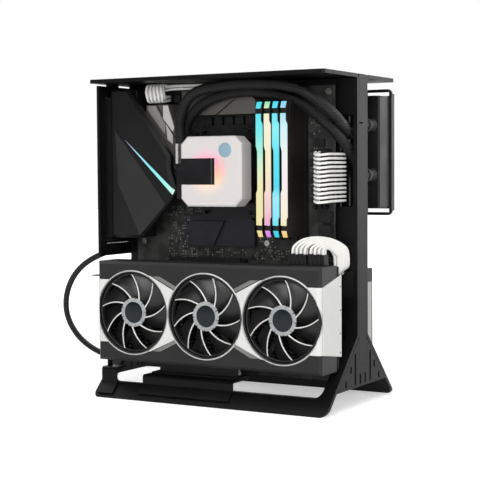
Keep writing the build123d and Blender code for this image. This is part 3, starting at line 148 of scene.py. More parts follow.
@dataclass(frozen=True)
class Finish:
    """One real material, with its colours, gloss and grain."""

    name: str
    colour: str
    second: str
    surface: Surface = Surface.GRAINED
    metallic: float = 0.0
    rough: float = 0.5
    swing: float = 0.08
    specular: float = 0.3
    blotch_mm: float = 45.0
    grain_mm: float = 0.8
    bump_mm: float = 0.02
    round_mm: float = 0.5
    brush: tuple[float, float, float] = (1.0, 1.0, 1.0)
    strand_lean_deg: float = 38.0
    strand_waves: float = 0.32
    lane_field_mm: float = 18.18
    lane_edge: tuple[float, float] = (0.46, 0.52)
    blotch_range: tuple[float, float] = (0.3, 0.7)

    def material(self) -> bpy.types.Material:
        """Gives the Blender material of this finish, made once.

        Broad noise swings the colour between two tones and the roughness about its mean; the fine pattern lifts the
        surface and darkens the colour in its hollows, which on braids, weaves and fins is painted shade.

        Returns:
            The material, with its procedural nodes.
        """
        made = bpy.data.materials.get(self.name)
        if made:
            return made
        made, shader, place = new_material(self.name)
        tree = made.node_tree
        low, high = self.blotch_range
        blotch = add_node(tree, "ShaderNodeTexNoise", {
            "Vector": place.outputs["Object"], "Scale": 1 / MM / self.blotch_mm, "Detail": 4.0, "Roughness": 0.6})
        tint = add_node(tree, "ShaderNodeValToRGB", {"Fac": blotch.outputs["Fac"]},
                        stops=((low, linear(self.colour)), (high, linear(self.second))))
        colour, height = tint.outputs["Color"], self.pattern(tree, place)
        start, end, hollow = self.surface.value
        if hollow < 1:
            shade = add_node(tree, "ShaderNodeValToRGB", {"Fac": height},
                             stops=((start, (hollow, hollow, hollow, 1.0)), (end, WHITE)))
            colour = add_node(tree, "ShaderNodeMix", {"Factor": 1.0, 6: colour, 7: shade.outputs["Color"]},
                              data_type="RGBA", blend_type="MULTIPLY").outputs[2]
        gloss = add_node(tree, "ShaderNodeMapRange", {
            "Value": blotch.outputs["Fac"], "From Min": low, "From Max": high,
            "To Min": max(self.rough - self.swing, 0.02), "To Max": min(self.rough + self.swing, 1.0)})
        edge = add_node(tree, "ShaderNodeBevel", {"Radius": self.round_mm * MM}, samples=4)
        bump = add_node(tree, "ShaderNodeBump", {
            "Height": height, "Strength": 1.0, "Distance": self.bump_mm * MM, "Normal": edge.outputs["Normal"]})
        feed(tree, shader, {"Base Color": colour, "Roughness": gloss.outputs["Result"],
                            "Normal": bump.outputs["Normal"], "Metallic": self.metallic,
                            "Specular IOR Level": self.specular})
        return made

    def pattern(self, tree: bpy.types.NodeTree, place: bpy.types.Node) -> bpy.types.NodeSocket:
        """Builds the fine pattern of the surface.

        A braid or weave is the higher of two crossed waves, copper lanes are slanted waves that noise lets
        through in places, fins are waves up the height, brushed metal is noise drawn out along an axis, and a
        grain is plain noise.

        Args:
            tree: the material's node tree.
            place: the node that gives the coordinates.

        Returns:
            The pattern's height, from 0 to 1.
        """
        where, fineness = place.outputs["Object"], 1 / MM / self.grain_mm
        if self.surface in (Surface.BRAIDED, Surface.WOVEN):
            strands = []
            for lean in (self.strand_lean_deg, -self.strand_lean_deg):
                turn = add_node(tree, "ShaderNodeMapping", {
                    "Vector": place.outputs["UV"], "Rotation": (0.0, 0.0, math.radians(lean)),
                    "Scale": (1 / self.grain_mm, 1 / self.grain_mm, 1.0)})
                strands.append(add_node(tree, "ShaderNodeTexWave", {
                    "Vector": turn.outputs["Vector"], "Scale": self.strand_waves, "Distortion": 0.4, "Detail": 1.0}))
            return add_node(tree, "ShaderNodeMath", {
                0: strands[0].outputs["Fac"], 1: strands[1].outputs["Fac"]}, operation="MAXIMUM").outputs[0]
        if self.surface is Surface.LAMINATE:
            lanes = add_node(tree, "ShaderNodeTexWave", {
                "Vector": where, "Scale": DIAGONAL_WAVE * fineness}, bands_direction="DIAGONAL")
            patches = add_node(tree, "ShaderNodeTexNoise", {
                "Vector": where, "Scale": 1 / MM / self.lane_field_mm, "Detail": 1.0})
            let_through = add_node(tree, "ShaderNodeMapRange", {
                "Value": patches.outputs["Fac"], "From Min": self.lane_edge[0], "From Max": self.lane_edge[1]})
            return add_node(tree, "ShaderNodeMath", {
                0: lanes.outputs["Fac"], 1: let_through.outputs["Result"]}, operation="MULTIPLY").outputs[0]
        if self.surface is Surface.FINNED:
            return add_node(tree, "ShaderNodeTexWave", {
                "Vector": where, "Scale": AXIS_WAVE * fineness}, bands_direction="Z").outputs["Fac"]
        detail = 2.0
        if self.surface is Surface.BRUSHED:
            where = add_node(tree, "ShaderNodeMapping", {"Vector": where, "Scale": self.brush}).outputs["Vector"]
            detail = 3.0
        return add_node(tree, "ShaderNodeTexNoise", {
            "Vector": where, "Scale": fineness, "Detail": detail}).outputs["Fac"]


@dataclass(frozen=True)
class Glow:
    """A lit diffuser: milky plastic whose light runs through colours along one axis of the object."""

    name: str
    stops: Run
    axis: Axis
    start_mm: float
    end_mm: float
    strength: float = 0.95
    unlit: str = "#30343a"
    rough: float = 0.35

    def material(self) -> bpy.types.Material:
        """Gives the Blender material of this diffuser.

        Returns:
            The material: milky plastic that shines in the run of colours.
        """
        made, shader, place = new_material(self.name)
        tree = made.node_tree
        parts = add_node(tree, "ShaderNodeSeparateXYZ", {"Vector": place.outputs["Object"]})
        share = add_node(tree, "ShaderNodeMapRange", {
            "Value": parts.outputs[self.axis.name], "From Min": self.start_mm * MM, "From Max": self.end_mm * MM})
        run = add_node(tree, "ShaderNodeValToRGB", {"Fac": share.outputs["Result"]},
                       stops=tuple((at, linear(code)) for at, code in self.stops))
        feed(tree, shader, {"Emission Color": run.outputs["Color"], "Base Color": linear(self.unlit),
                            "Emission Strength": self.strength, "Roughness": self.rough})
        return made


@dataclass(frozen=True)
class Frost:
    """Frosted plastic lit from inside: white, with a tint that runs up the height and fades round one place."""

    name: str
    plain: str
    stops: Run
    tint_z_mm: tuple[float, float]
    centre_mm: tuple[float, float, float]
    fade_mm: tuple[float, float]
    grain_mm: float = 3.85
    rough: tuple[float, float] = (0.42, 0.58)
    strength: float = 0.14

    def material(self) -> bpy.types.Material:
        """Gives the Blender material of this plastic.

        Returns:
            The material, which glows a little in its own colours.
        """
        made, shader, place = new_material(self.name)
        tree = made.node_tree
        parts = add_node(tree, "ShaderNodeSeparateXYZ", {"Vector": place.outputs["Object"]})
        share = add_node(tree, "ShaderNodeMapRange", {
            "Value": parts.outputs["Z"], "From Min": self.tint_z_mm[0] * MM, "From Max": self.tint_z_mm[1] * MM})
        tint = add_node(tree, "ShaderNodeValToRGB", {"Fac": share.outputs["Result"]},
                        stops=tuple((at, linear(code)) for at, code in self.stops))
        away = add_node(tree, "ShaderNodeVectorMath", {
            0: place.outputs["Object"], 1: tuple(v * MM for v in self.centre_mm)}, operation="DISTANCE")
        fade = add_node(tree, "ShaderNodeMapRange", {
            "Value": away.outputs["Value"], "From Min": self.fade_mm[0] * MM, "From Max": self.fade_mm[1] * MM},
            interpolation_type="SMOOTHSTEP")
        grain = add_node(tree, "ShaderNodeTexNoise", {
            "Vector": place.outputs["Object"], "Scale": 1 / MM / self.grain_mm, "Detail": 3.0})
        rough = add_node(tree, "ShaderNodeMapRange", {
            "Value": grain.outputs["Fac"], "To Min": self.rough[0], "To Max": self.rough[1]})
        lit = add_node(tree, "ShaderNodeMix", {
            "Factor": fade.outputs["Result"], 6: tint.outputs["Color"], 7: linear(self.plain)}, data_type="RGBA")
        feed(tree, shader, {"Emission Color": lit.outputs[2], "Base Color": lit.outputs[2],
                            "Roughness": rough.outputs["Result"], "Emission Strength": self.strength})
        return made


class Paint:
    """The finishes of the bench, each named for its real material."""

    # Textured black powder coat: near black from the front, a soft grey sheen where it faces the room.
    BLACK_SHEET = Finish("powder_coated_steel", "#0b0b0b", "#0f0f0f", rough=0.4, swing=0.03, specular=0.16,
                         grain_mm=0.9, bump_mm=0.03)
    # Zinc plate: pale bright metal with fine drawn lines.
    ZINC = Finish("zinc_plated_steel", "#c4c4c1", "#a8a8a5", Surface.BRUSHED, metallic=1.0, rough=0.28,
                  grain_mm=0.6, brush=(1.0, 8.0, 1.0), bump_mm=0.005)
    # Solder mask over copper lanes: dark grey with faint raised tracks.
    LAMINATE = Finish("black_solder_mask", "#3a3a39", "#484846", Surface.LAMINATE, rough=0.42, grain_mm=2.6,
                      bump_mm=0.06)
    # Moulded nylon: even black with a dull edge light.
    NYLON = Finish("moulded_black_nylon", "#111111", "#161616", rough=0.5, bump_mm=0.015)
    # Satin moulding of the port cover: charcoal with long soft reflections.
    SHROUD = Finish("satin_charcoal_abs", "#101011", "#141415", rough=0.36, swing=0.02, bump_mm=0.008, blotch_mm=70)
    # The same moulding on its bevels, painted a shade lighter: painted light for facets that lean to the floor and
    # catch more of the lamps.
    SHROUD_PAINTED_LIT = Finish("satin_charcoal_abs_painted_lit", "#242425", "#2b2b2c", rough=0.4, swing=0.02, bump_mm=0.008)
    # Bead blasted and anodised: flat mid grey with a fine sparkle.
    ANODISED = Finish("bead_blasted_anodised_aluminium", "#63605d", "#575451", metallic=0.35,
                      rough=0.5, grain_mm=0.5)
    # The same blasted metal painted a lighter mid grey: painted light on heatsink faces that tilt towards the lamps.
    ANODISED_PAINTED_HALF_LIT = Finish("anodised_aluminium_painted_half_lit", "#a3a09c", "#949190", metallic=0.3,
                          rough=0.45, grain_mm=0.5)
    # The same blasted metal painted pale, almost white: painted light on the heatsink faces that meet the lamps most.
    ANODISED_PAINTED_LIT = Finish("anodised_aluminium_painted_lit", "#dedbd6", "#c9c6c1", metallic=0.35,
                           rough=0.45, grain_mm=0.5)
    # Dark anodised cover: blue black, lightly brushed.
    DARK_ANODISED = Finish("dark_anodised_aluminium", "#25252b", "#2e2e35", Surface.BRUSHED, metallic=0.4,
                           rough=0.42, grain_mm=0.5, brush=(1.0, 1.0, 0.08))
    # Folded fin stock: rows of fin edges, with painted shade darkening the colour between them.
    FIN_STOCK = Finish("aluminium_fin_stock", "#6d6e70", "#5d5e60", Surface.FINNED, metallic=0.9, rough=0.4,
                       grain_mm=4.4, bump_mm=0.4)
    # Nickel plate: warm bright lid.
    NICKEL = Finish("nickel_plated_lid", "#b9b9b6", "#a6a6a3", Surface.BRUSHED, metallic=1.0, rough=0.28,
                    grain_mm=0.5, brush=(1.0, 1.0, 0.1))
    # Natural nylon of the latch: pale, slightly waxy.
    LATCH = Finish("natural_nylon", "#d4d4d0", "#c6c6c2", rough=0.45)
    # Brushed dark spreaders: brown black with long fine lines.
    SPREADER = Finish("brushed_dark_aluminium", "#2a2725", "#1f1d1c", Surface.BRUSHED, metallic=0.5, rough=0.42,
                      grain_mm=0.6, brush=(1.0, 1.0, 0.06))
    # Gloss ABS of the pump: deep black with a clear reflection.
    PUMP_BLACK = Finish("gloss_black_abs", "#121214", "#18181a", rough=0.25, bump_mm=0.004)
    # Braided sleeve over rubber: black with a fine crossed weave, drawn coarser than it is so that it shows, with
    # painted shade in the weave's gaps.
    HOSE = Finish("braided_hose_sleeve", "#0d0d0d", "#131313", Surface.BRAIDED, rough=0.34, grain_mm=2.3,
                  bump_mm=0.8, specular=0.36)
    # Radiator paint: matt black that goes grey where it faces the room.
    RADIATOR = Finish("matt_black_radiator_paint", "#151515", "#1b1b1b", rough=0.42)
    # Glass filled nylon: grey black blades with a broad sheen.
    FAN = Finish("glass_filled_black_nylon", "#1b1b1b", "#232323", rough=0.34, swing=0.03, grain_mm=0.6, specular=0.5)
    # Card housing: matt charcoal with a fine spark texture.
    CARD_BLACK = Finish("spark_textured_charcoal_abs", "#1f1f1f", "#252525", rough=0.48,
                        grain_mm=0.6)
    # Silver paint on the card's front: pale, almost white, with a soft metal flake.
    CARD_SILVER = Finish("pale_silver_paint", "#dededb", "#d2d2cf", metallic=0.1, rough=0.38,
                         grain_mm=0.4, bump_mm=0.006)
    # Thin chrome line round each fan: bright where it meets the lamps, dark elsewhere.
    CHROME = Finish("chrome_ring", "#d6d6d4", "#c6c6c4", Surface.BRUSHED, metallic=0.45, rough=0.25, grain_mm=0.4,
                    bump_mm=0.002)
    # Cast ring of the hubs: dull grey metal.
    HUB_RING = Finish("dull_cast_zinc", "#a9adad", "#9a9e9e", metallic=0.2, rough=0.45, grain_mm=0.5)
    # Grey paint of the slanted stripes: mid grey, satin.
    CARD_GREY = Finish("satin_grey_paint", "#8d8d8b", "#7c7c7a", Surface.BRUSHED, metallic=0.3, rough=0.35,
                       grain_mm=0.5, brush=(0.1, 1.0, 1.0))
    # Painted highlight: a pale strip on the front of a polished collar, standing for the lamps' glint in it.
    COLLAR_HIGHLIGHT = Finish("collar_painted_highlight", "#f0f0ee", "#dcdcda", Surface.BRUSHED, metallic=0.7, rough=0.25,
                    grain_mm=0.4, brush=(1.0, 1.0, 0.1), bump_mm=0.002)
    # Wrinkle paint on the supply: black with a coarse crinkle.
    SUPPLY = Finish("wrinkle_black_paint", "#191919", "#222222", rough=0.5, grain_mm=1.2,
                    bump_mm=0.08)
    # Paper label: plain pale grey white.
    LABEL = Finish("blank_paper_label", "#c6c6c2", "#bcbcb8", rough=0.6, grain_mm=0.3, bump_mm=0.004)
    # Woven nylon sleeve on each wire: white with a small diagonal weave, with light painted shade in its gaps.
    SLEEVE = Finish("white_wire_sleeve", "#fbfaf6", "#f1f0ec", Surface.WOVEN, rough=0.7, grain_mm=0.9,
                    bump_mm=0.1, specular=0.25)
    # PVC jacket: black with a soft low sheen.
    JACKET = Finish("lead_jacket_pvc", "#161616", "#1d1d1d", rough=0.42)
    # Glossy cap on the hubs: blue black, like dark glass.
    HUB_GLASS = Finish("gloss_slate_cap", "#141b20", "#1a2228", rough=0.25, bump_mm=0.002)
    # Painted disc on the pump: muted blue grey.
    SLATE = Finish("slate_blue_paint", "#7d9aab", "#8fa9b8", rough=0.4, bump_mm=0.004)
    # Ceramic of the small capacitors: warm dull grey.
    CERAMIC = Finish("grey_ceramic", "#6f6d68", "#7d7a73", rough=0.45, grain_mm=0.5)
    # Epoxy of the small chips: black, a little glossy.
    EPOXY = Finish("black_epoxy", "#1c1c1d", "#27272a", rough=0.4, grain_mm=0.4)
    # Tinned copper: bright grey metal with a fine grain.
    TIN = Finish("tinned_copper", "#a7a7a2", "#8f8f8b", Surface.BRUSHED, metallic=0.8, rough=0.35, grain_mm=0.4)
    # Frosted cap of the pump: white, lit from inside, pink above the dark inset and orange below it.
    FROST = Frost("frosted_white_acrylic", "#c4bfbd", (
        (0.0, "#ecd2c2"), (0.12, "#f0c8a8"), (0.45, "#f2ad96"), (0.8, "#ee93aa"), (1.0, "#e6acc2")),
        tint_z_mm=(226.0, 262.0), centre_mm=(-4.0, -68.0, 243.0), fade_mm=(11.0, 28.0))


@dataclass
class Shape:
    """A surface as whole arrays: points in millimetres, four-sided faces with their UV, and end caps."""

    points: np.ndarray
    quads: np.ndarray
    uv: np.ndarray
    caps: list[np.ndarray]

    def turned_y(self, degrees: float) -> "Shape":
        """Turns the shape about the Y axis, anticlockwise as seen from the front.

        Args:
            degrees: how far it turns.

        Returns:
            The turned shape.
        """
        c, s = math.cos(math.radians(degrees)), math.sin(math.radians(degrees))
        return replace(self, points=self.points @ np.array([[c, 0.0, -s], [0.0, 1.0, 0.0], [s, 0.0, c]]).T)

    def moved(self, step: Point) -> "Shape":
        """Moves the shape by a step in millimetres."""
        return replace(self, points=self.points + np.asarray(step, float))


def joined(shapes: Sequence[Shape]) -> Shape:
    """Puts shapes together as one.

    Args:
        shapes: the shapes, in order.

    Returns:
        One shape with all the points and faces.
    """
    starts = np.cumsum([0] + [len(s.points) for s in shapes[:-1]])
    return Shape(np.concatenate([s.points for s in shapes]),
                 np.concatenate([s.quads + start for s, start in zip(shapes, starts)]),
                 np.concatenate([s.uv for s in shapes]),
                 [cap + start for s, start in zip(shapes, starts) for cap in s.caps])


def outward(points: np.ndarray, quads: np.ndarray, uv: np.ndarray, caps: list[np.ndarray]) -> Shape:
    """Turns all faces round where the volume that they enclose comes out negative.

    Args:
        points: the points, in millimetres.
        quads: four-sided faces, all turned the same way.
        uv: UV of each face's corners.
        caps: faces with more corners.

    Returns:
        The shape, with its faces pointing outwards.
    """
    a, b, c, d = (points[quads[:, k]] for k in range(4))
    volume = np.einsum("ij,ij->i", a - points.mean(0), np.cross(c - a, d - b)).sum()
    if volume < 0:
        quads, uv, caps = quads[:, ::-1], uv[:, ::-1], [cap[::-1] for cap in caps]
    return Shape(points, quads, uv, caps)


def loft(rings: np.ndarray, lengths: np.ndarray | None = None, closed: bool = False) -> Shape:
    """Joins rings of points, one after the other, into a closed skin.

    Args:
        rings: array of n rings with m points each, in millimetres.
        lengths: distance of each ring along the shape, which gives the UV's first value.
        closed: the last ring joins the first one, and there are no caps.

    Returns:
        The skin, turned so that its faces point outwards.
    """
    n, m = rings.shape[:2]
    i, j = np.meshgrid(np.arange(n if closed else n - 1), np.arange(m), indexing="ij")
    i2, j2 = (i + 1) % n, (j + 1) % m
    quads = np.stack([i * m + j, i * m + j2, i2 * m + j2, i2 * m + j], -1).reshape(-1, 4)
    run = np.arange(n, dtype=float) if lengths is None else np.asarray(lengths, float)
    step = np.append(run[1:], run[-1] + (run[-1] - run[-2]))
    girth = np.linalg.norm(np.roll(rings[0], -1, axis=0) - rings[0], axis=1).sum()
    around, wide = girth * j / m, girth * (j + 1) / m
    uv = np.stack([np.stack([run[i], around], -1), np.stack([run[i], wide], -1),
                   np.stack([step[i], wide], -1), np.stack([step[i], around], -1)], -2).reshape(-1, 4, 2)
    points = rings.reshape(-1, 3)
    caps = [] if closed else [np.arange(m)[::-1], (n - 1) * m + np.arange(m)]
    return outward(points, quads, uv, caps)


def smooth(points: Points, count: int) -> np.ndarray:
    """Carries a smooth line through points, by cubic pieces that pass through every one.

    Args:
        points: the points, in millimetres.
        count: how many points the line gets.

    Returns:
        The line's points, evenly spaced in the pieces' own parameter.
    """
    p = np.asarray(points, float)
    p = np.vstack([2 * p[0] - p[1], p, 2 * p[-1] - p[-2]])
    t = np.linspace(0, len(p) - 3 - 1e-9, count)
    k = np.floor(t).astype(int)
    u = (t - k)[:, None]
    a, b, c, d = p[k], p[k + 1], p[k + 2], p[k + 3]
    return 0.5 * (2 * b + (c - a) * u + (2 * a - 5 * b + 4 * c - d) * u ** 2 + (3 * b - a - 3 * c + d) * u ** 3)


def tube(path: np.ndarray, radius: float | np.ndarray, sides: int, across: Point) -> Shape:
    """Carries a circle along a path.

    Args:
        path: the centre line's points, in millimetres.
        radius: one radius, or one for each point.
        sides: points round the circle.
        across: a direction that the path never follows, from which the circle's own axes are worked out.

    Returns:
        The tube, with the distance along it in its UV.
    """
    ahead = np.gradient(path, axis=0)
    ahead /= np.linalg.norm(ahead, axis=1, keepdims=True)
    side = np.asarray(across, float) - (ahead @ np.asarray(across, float))[:, None] * ahead
    side /= np.linalg.norm(side, axis=1, keepdims=True)
    up = np.cross(ahead, side)
    turn = np.linspace(0, 2 * np.pi, sides, endpoint=False)
    circle = np.cos(turn)[None, :, None] * side[:, None, :] + np.sin(turn)[None, :, None] * up[:, None, :]
    size = np.broadcast_to(np.asarray(radius, float), (len(path),))
    lengths = np.append(0, np.cumsum(np.linalg.norm(np.diff(path, axis=0), axis=1)))
    return loft(path[:, None, :] + size[:, None, None] * circle, lengths)


def prism(profile: Points, start: Point, end: Point, plane: tuple[Axis, Axis] = (Axis.X, Axis.Z)) -> Shape:
    """Carries a flat outline straight from one place to another.

    Args:
        profile: the outline's points.
        start: step from the plane through the origin to the first end, as x, y, z.
        end: the same for the other end.
        plane: the two axes that the outline is given in.

    Returns:
        The closed prism.
    """
    flat = np.zeros((len(profile), 3))
    flat[:, [axis.value for axis in plane]] = np.asarray(profile, float)
    return loft(np.stack([flat + np.asarray(start, float), flat + np.asarray(end, float)]))


def soft_box(low: Point, high: Point, edge: float) -> Shape:
    """A box whose edges along Z and rims at both ends are cut back by the same small step.

    Four rings of eight points: a rectangle with cut corners, pulled in at the first and last ring.

    Args:
        low: the box's lowest corner.
        high: its highest corner.
        edge: the step.

    Returns:
        The closed box.
    """
    (x0, y0, z0), (x1, y1, z1) = low, high
    inset = np.array([edge, 0, 0, edge], float)
    a, b, c, d = x0 + inset, x1 - inset, y0 + inset, y1 - inset
    x = np.stack([a + edge, b - edge, b, b, b - edge, a + edge, a, a], -1)
    y = np.stack([c, c, c + edge, d - edge, d, d, d - edge, c + edge], -1)
    z = np.array([z0, z0 + edge, z1 - edge, z1], float)
    return loft(np.stack([x, y, np.broadcast_to(z[:, None], x.shape)], -1))


def slab(front: np.ndarray, step: Point) -> Shape:
    """Gives a patch of surface a thickness: the grid, the same grid moved by a step, and walls round its border.

    Args:
        front: grid of n by m points, in millimetres.
        step: way from the front to the back.

    Returns:
        The closed plate.
    """
    n, m = front.shape[:2]
    points = np.concatenate([front.reshape(-1, 3), (front + np.asarray(step, float)).reshape(-1, 3)])
    i, j = np.meshgrid(np.arange(n - 1), np.arange(m - 1), indexing="ij")
    face = np.stack([i * m + j, i * m + j + 1, (i + 1) * m + j + 1, (i + 1) * m + j], -1).reshape(-1, 4)
    rim = np.concatenate([np.arange(m), np.arange(2, n + 1) * m - 1,
                          (n - 1) * m + np.arange(m - 2, -1, -1), np.arange(n - 2, 0, -1) * m])
    after = np.roll(rim, -1)
    wall = np.stack([after, rim, rim + n * m, after + n * m], -1)
    quads = np.concatenate([face, face[:, ::-1] + n * m, wall])
    return outward(points, quads, np.zeros((len(quads), 4, 2)), [])


def along(corners: Points, count: int) -> np.ndarray:
    """Spreads points evenly over the straight runs between corners.

    Args:
        corners: the corners, in any number of axes.
        count: how many points.

    Returns:
        The points.
    """
    p = np.asarray(corners, float)
    done = np.append(0, np.cumsum(np.linalg.norm(np.diff(p, axis=0), axis=1)))
    at = np.linspace(0, done[-1], count)
    return np.stack([np.interp(at, done, p[:, k]) for k in range(p.shape[1])], -1)


def patch(left: np.ndarray, right: np.ndarray, low: np.ndarray, high: np.ndarray) -> np.ndarray:
    """Fills four border lines: the blend of the sides plus that of the ends, less that of the corners.

    Args:
        left: the left border, from the low end to the high one.
        right: the right border, in the same direction.
        low: the low border, from left to right.
        high: the high border, from left to right.

    Returns:
        The grid of points between them.
    """
    s = np.linspace(0, 1, len(left))[:, None, None]
    t = np.linspace(0, 1, len(low))[None, :, None]
    sides = (1 - t) * left[:, None] + t * right[:, None]
    ends = (1 - s) * low[None] + s * high[None]
    corners = (1 - s) * ((1 - t) * left[0] + t * right[0]) + s * ((1 - t) * left[-1] + t * right[-1])
    return sides + ends - corners


def turned(axis: Axis, centre: Point, profile: Points, sides: int = 32, closed: bool = False) -> Shape:
    """Turns a profile of radius and place along the axis about that axis.

    Args:
        axis: the axis to turn about.
        centre: a point of the axis, 0 on the axis itself.
        profile: radius and place of each ring, in order.
        sides: points in a ring.
        closed: the profile is a closed loop, as on a ring with a hole.

    Returns:
        The turned body.
    """
    k = axis.value
    turn = np.linspace(0, 2 * np.pi, sides, endpoint=False)
    r, place = np.asarray(profile, float).T
    rings = np.zeros((len(r), sides, 3))
    rings[..., k] = place[:, None]
    rings[..., (k + 1) % 3] = r[:, None] * np.cos(turn)
    rings[..., (k + 2) % 3] = r[:, None] * np.sin(turn)
    return loft(rings + np.asarray(centre, float), closed=closed)


def boxes(centres: np.ndarray, sizes: np.ndarray) -> Shape:
    """Copies a box of six faces to every centre, stretched to its size.

    Args:
        centres: n centres, in millimetres.
        sizes: n sizes along x, y and z.

    Returns:
        All the boxes as one shape.
    """
    half = (-0.5, 0.5)
    unit = np.stack(np.meshgrid(half, half, half, indexing="ij")[::-1], -1).reshape(-1, 3)
    faces = np.array([[0, 2, 3, 1], [4, 5, 7, 6], [0, 1, 5, 4], [2, 6, 7, 3], [0, 4, 6, 2], [1, 3, 7, 5]])
    points = (np.asarray(centres)[:, None] + unit[None] * np.asarray(sizes)[:, None]).reshape(-1, 3)
    quads = (faces[None] + 8 * np.arange(len(centres))[:, None, None]).reshape(-1, 4)
    return outward(points, quads, np.zeros((len(quads), 4, 2)), [])


def make_piece(name: str, shape: Shape, finish: Finish | Glow, body: str = BENCH,
               replaced: Sequence[str] = (), sharp_deg: float = 32.0) -> bpy.types.Object:
    """Puts a shape into the scene as a piece of the object.

    Args:
        name: the piece's name.
        shape: its surface in millimetres.
        finish: what it is made of.
        body: the moving body that carries it.
        replaced: solids that it stands for.
        sharp_deg: edges that turn further than this stay sharp.

    Returns:
        The new object.
    """
    mesh = bpy.data.meshes.new(name)
    faces = shape.quads.tolist() + [cap.tolist() for cap in shape.caps]
    mesh.from_pydata((shape.points * MM).tolist(), [], faces)
    layer = mesh.uv_layers.new(name="UVMap")
    corner = shape.uv.reshape(-1, 2)
    rest = len(mesh.loops) - len(corner)
    layer.data.foreach_set("uv", np.vstack([corner, np.zeros((rest, 2))]).astype(np.float32).ravel())
    mesh.polygons.foreach_set("use_smooth", np.ones(len(mesh.polygons), bool))
    mesh.set_sharp_from_angle(angle=math.radians(sharp_deg))
    mesh.materials.append(finish.material())
    mesh.validate()
    piece = bpy.data.objects.new(name, mesh)
    bpy.context.collection.objects.link(piece)
    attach(piece, body)
    if replaced:
        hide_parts(*replaced)
    log.info("piece %s: %d faces", name, len(faces))
    return piece


def dress(finish: Finish | Glow | Frost, *nodes: str) -> None:
    """Gives solids their finish.

    Args:
        finish: the material.
        nodes: names of the solids.
    """
    for name in nodes:
        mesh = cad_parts[name].data
        mesh.materials.clear()
        mesh.materials.append(finish.material())
        log.info("dressed %s with %s", name, finish.name)


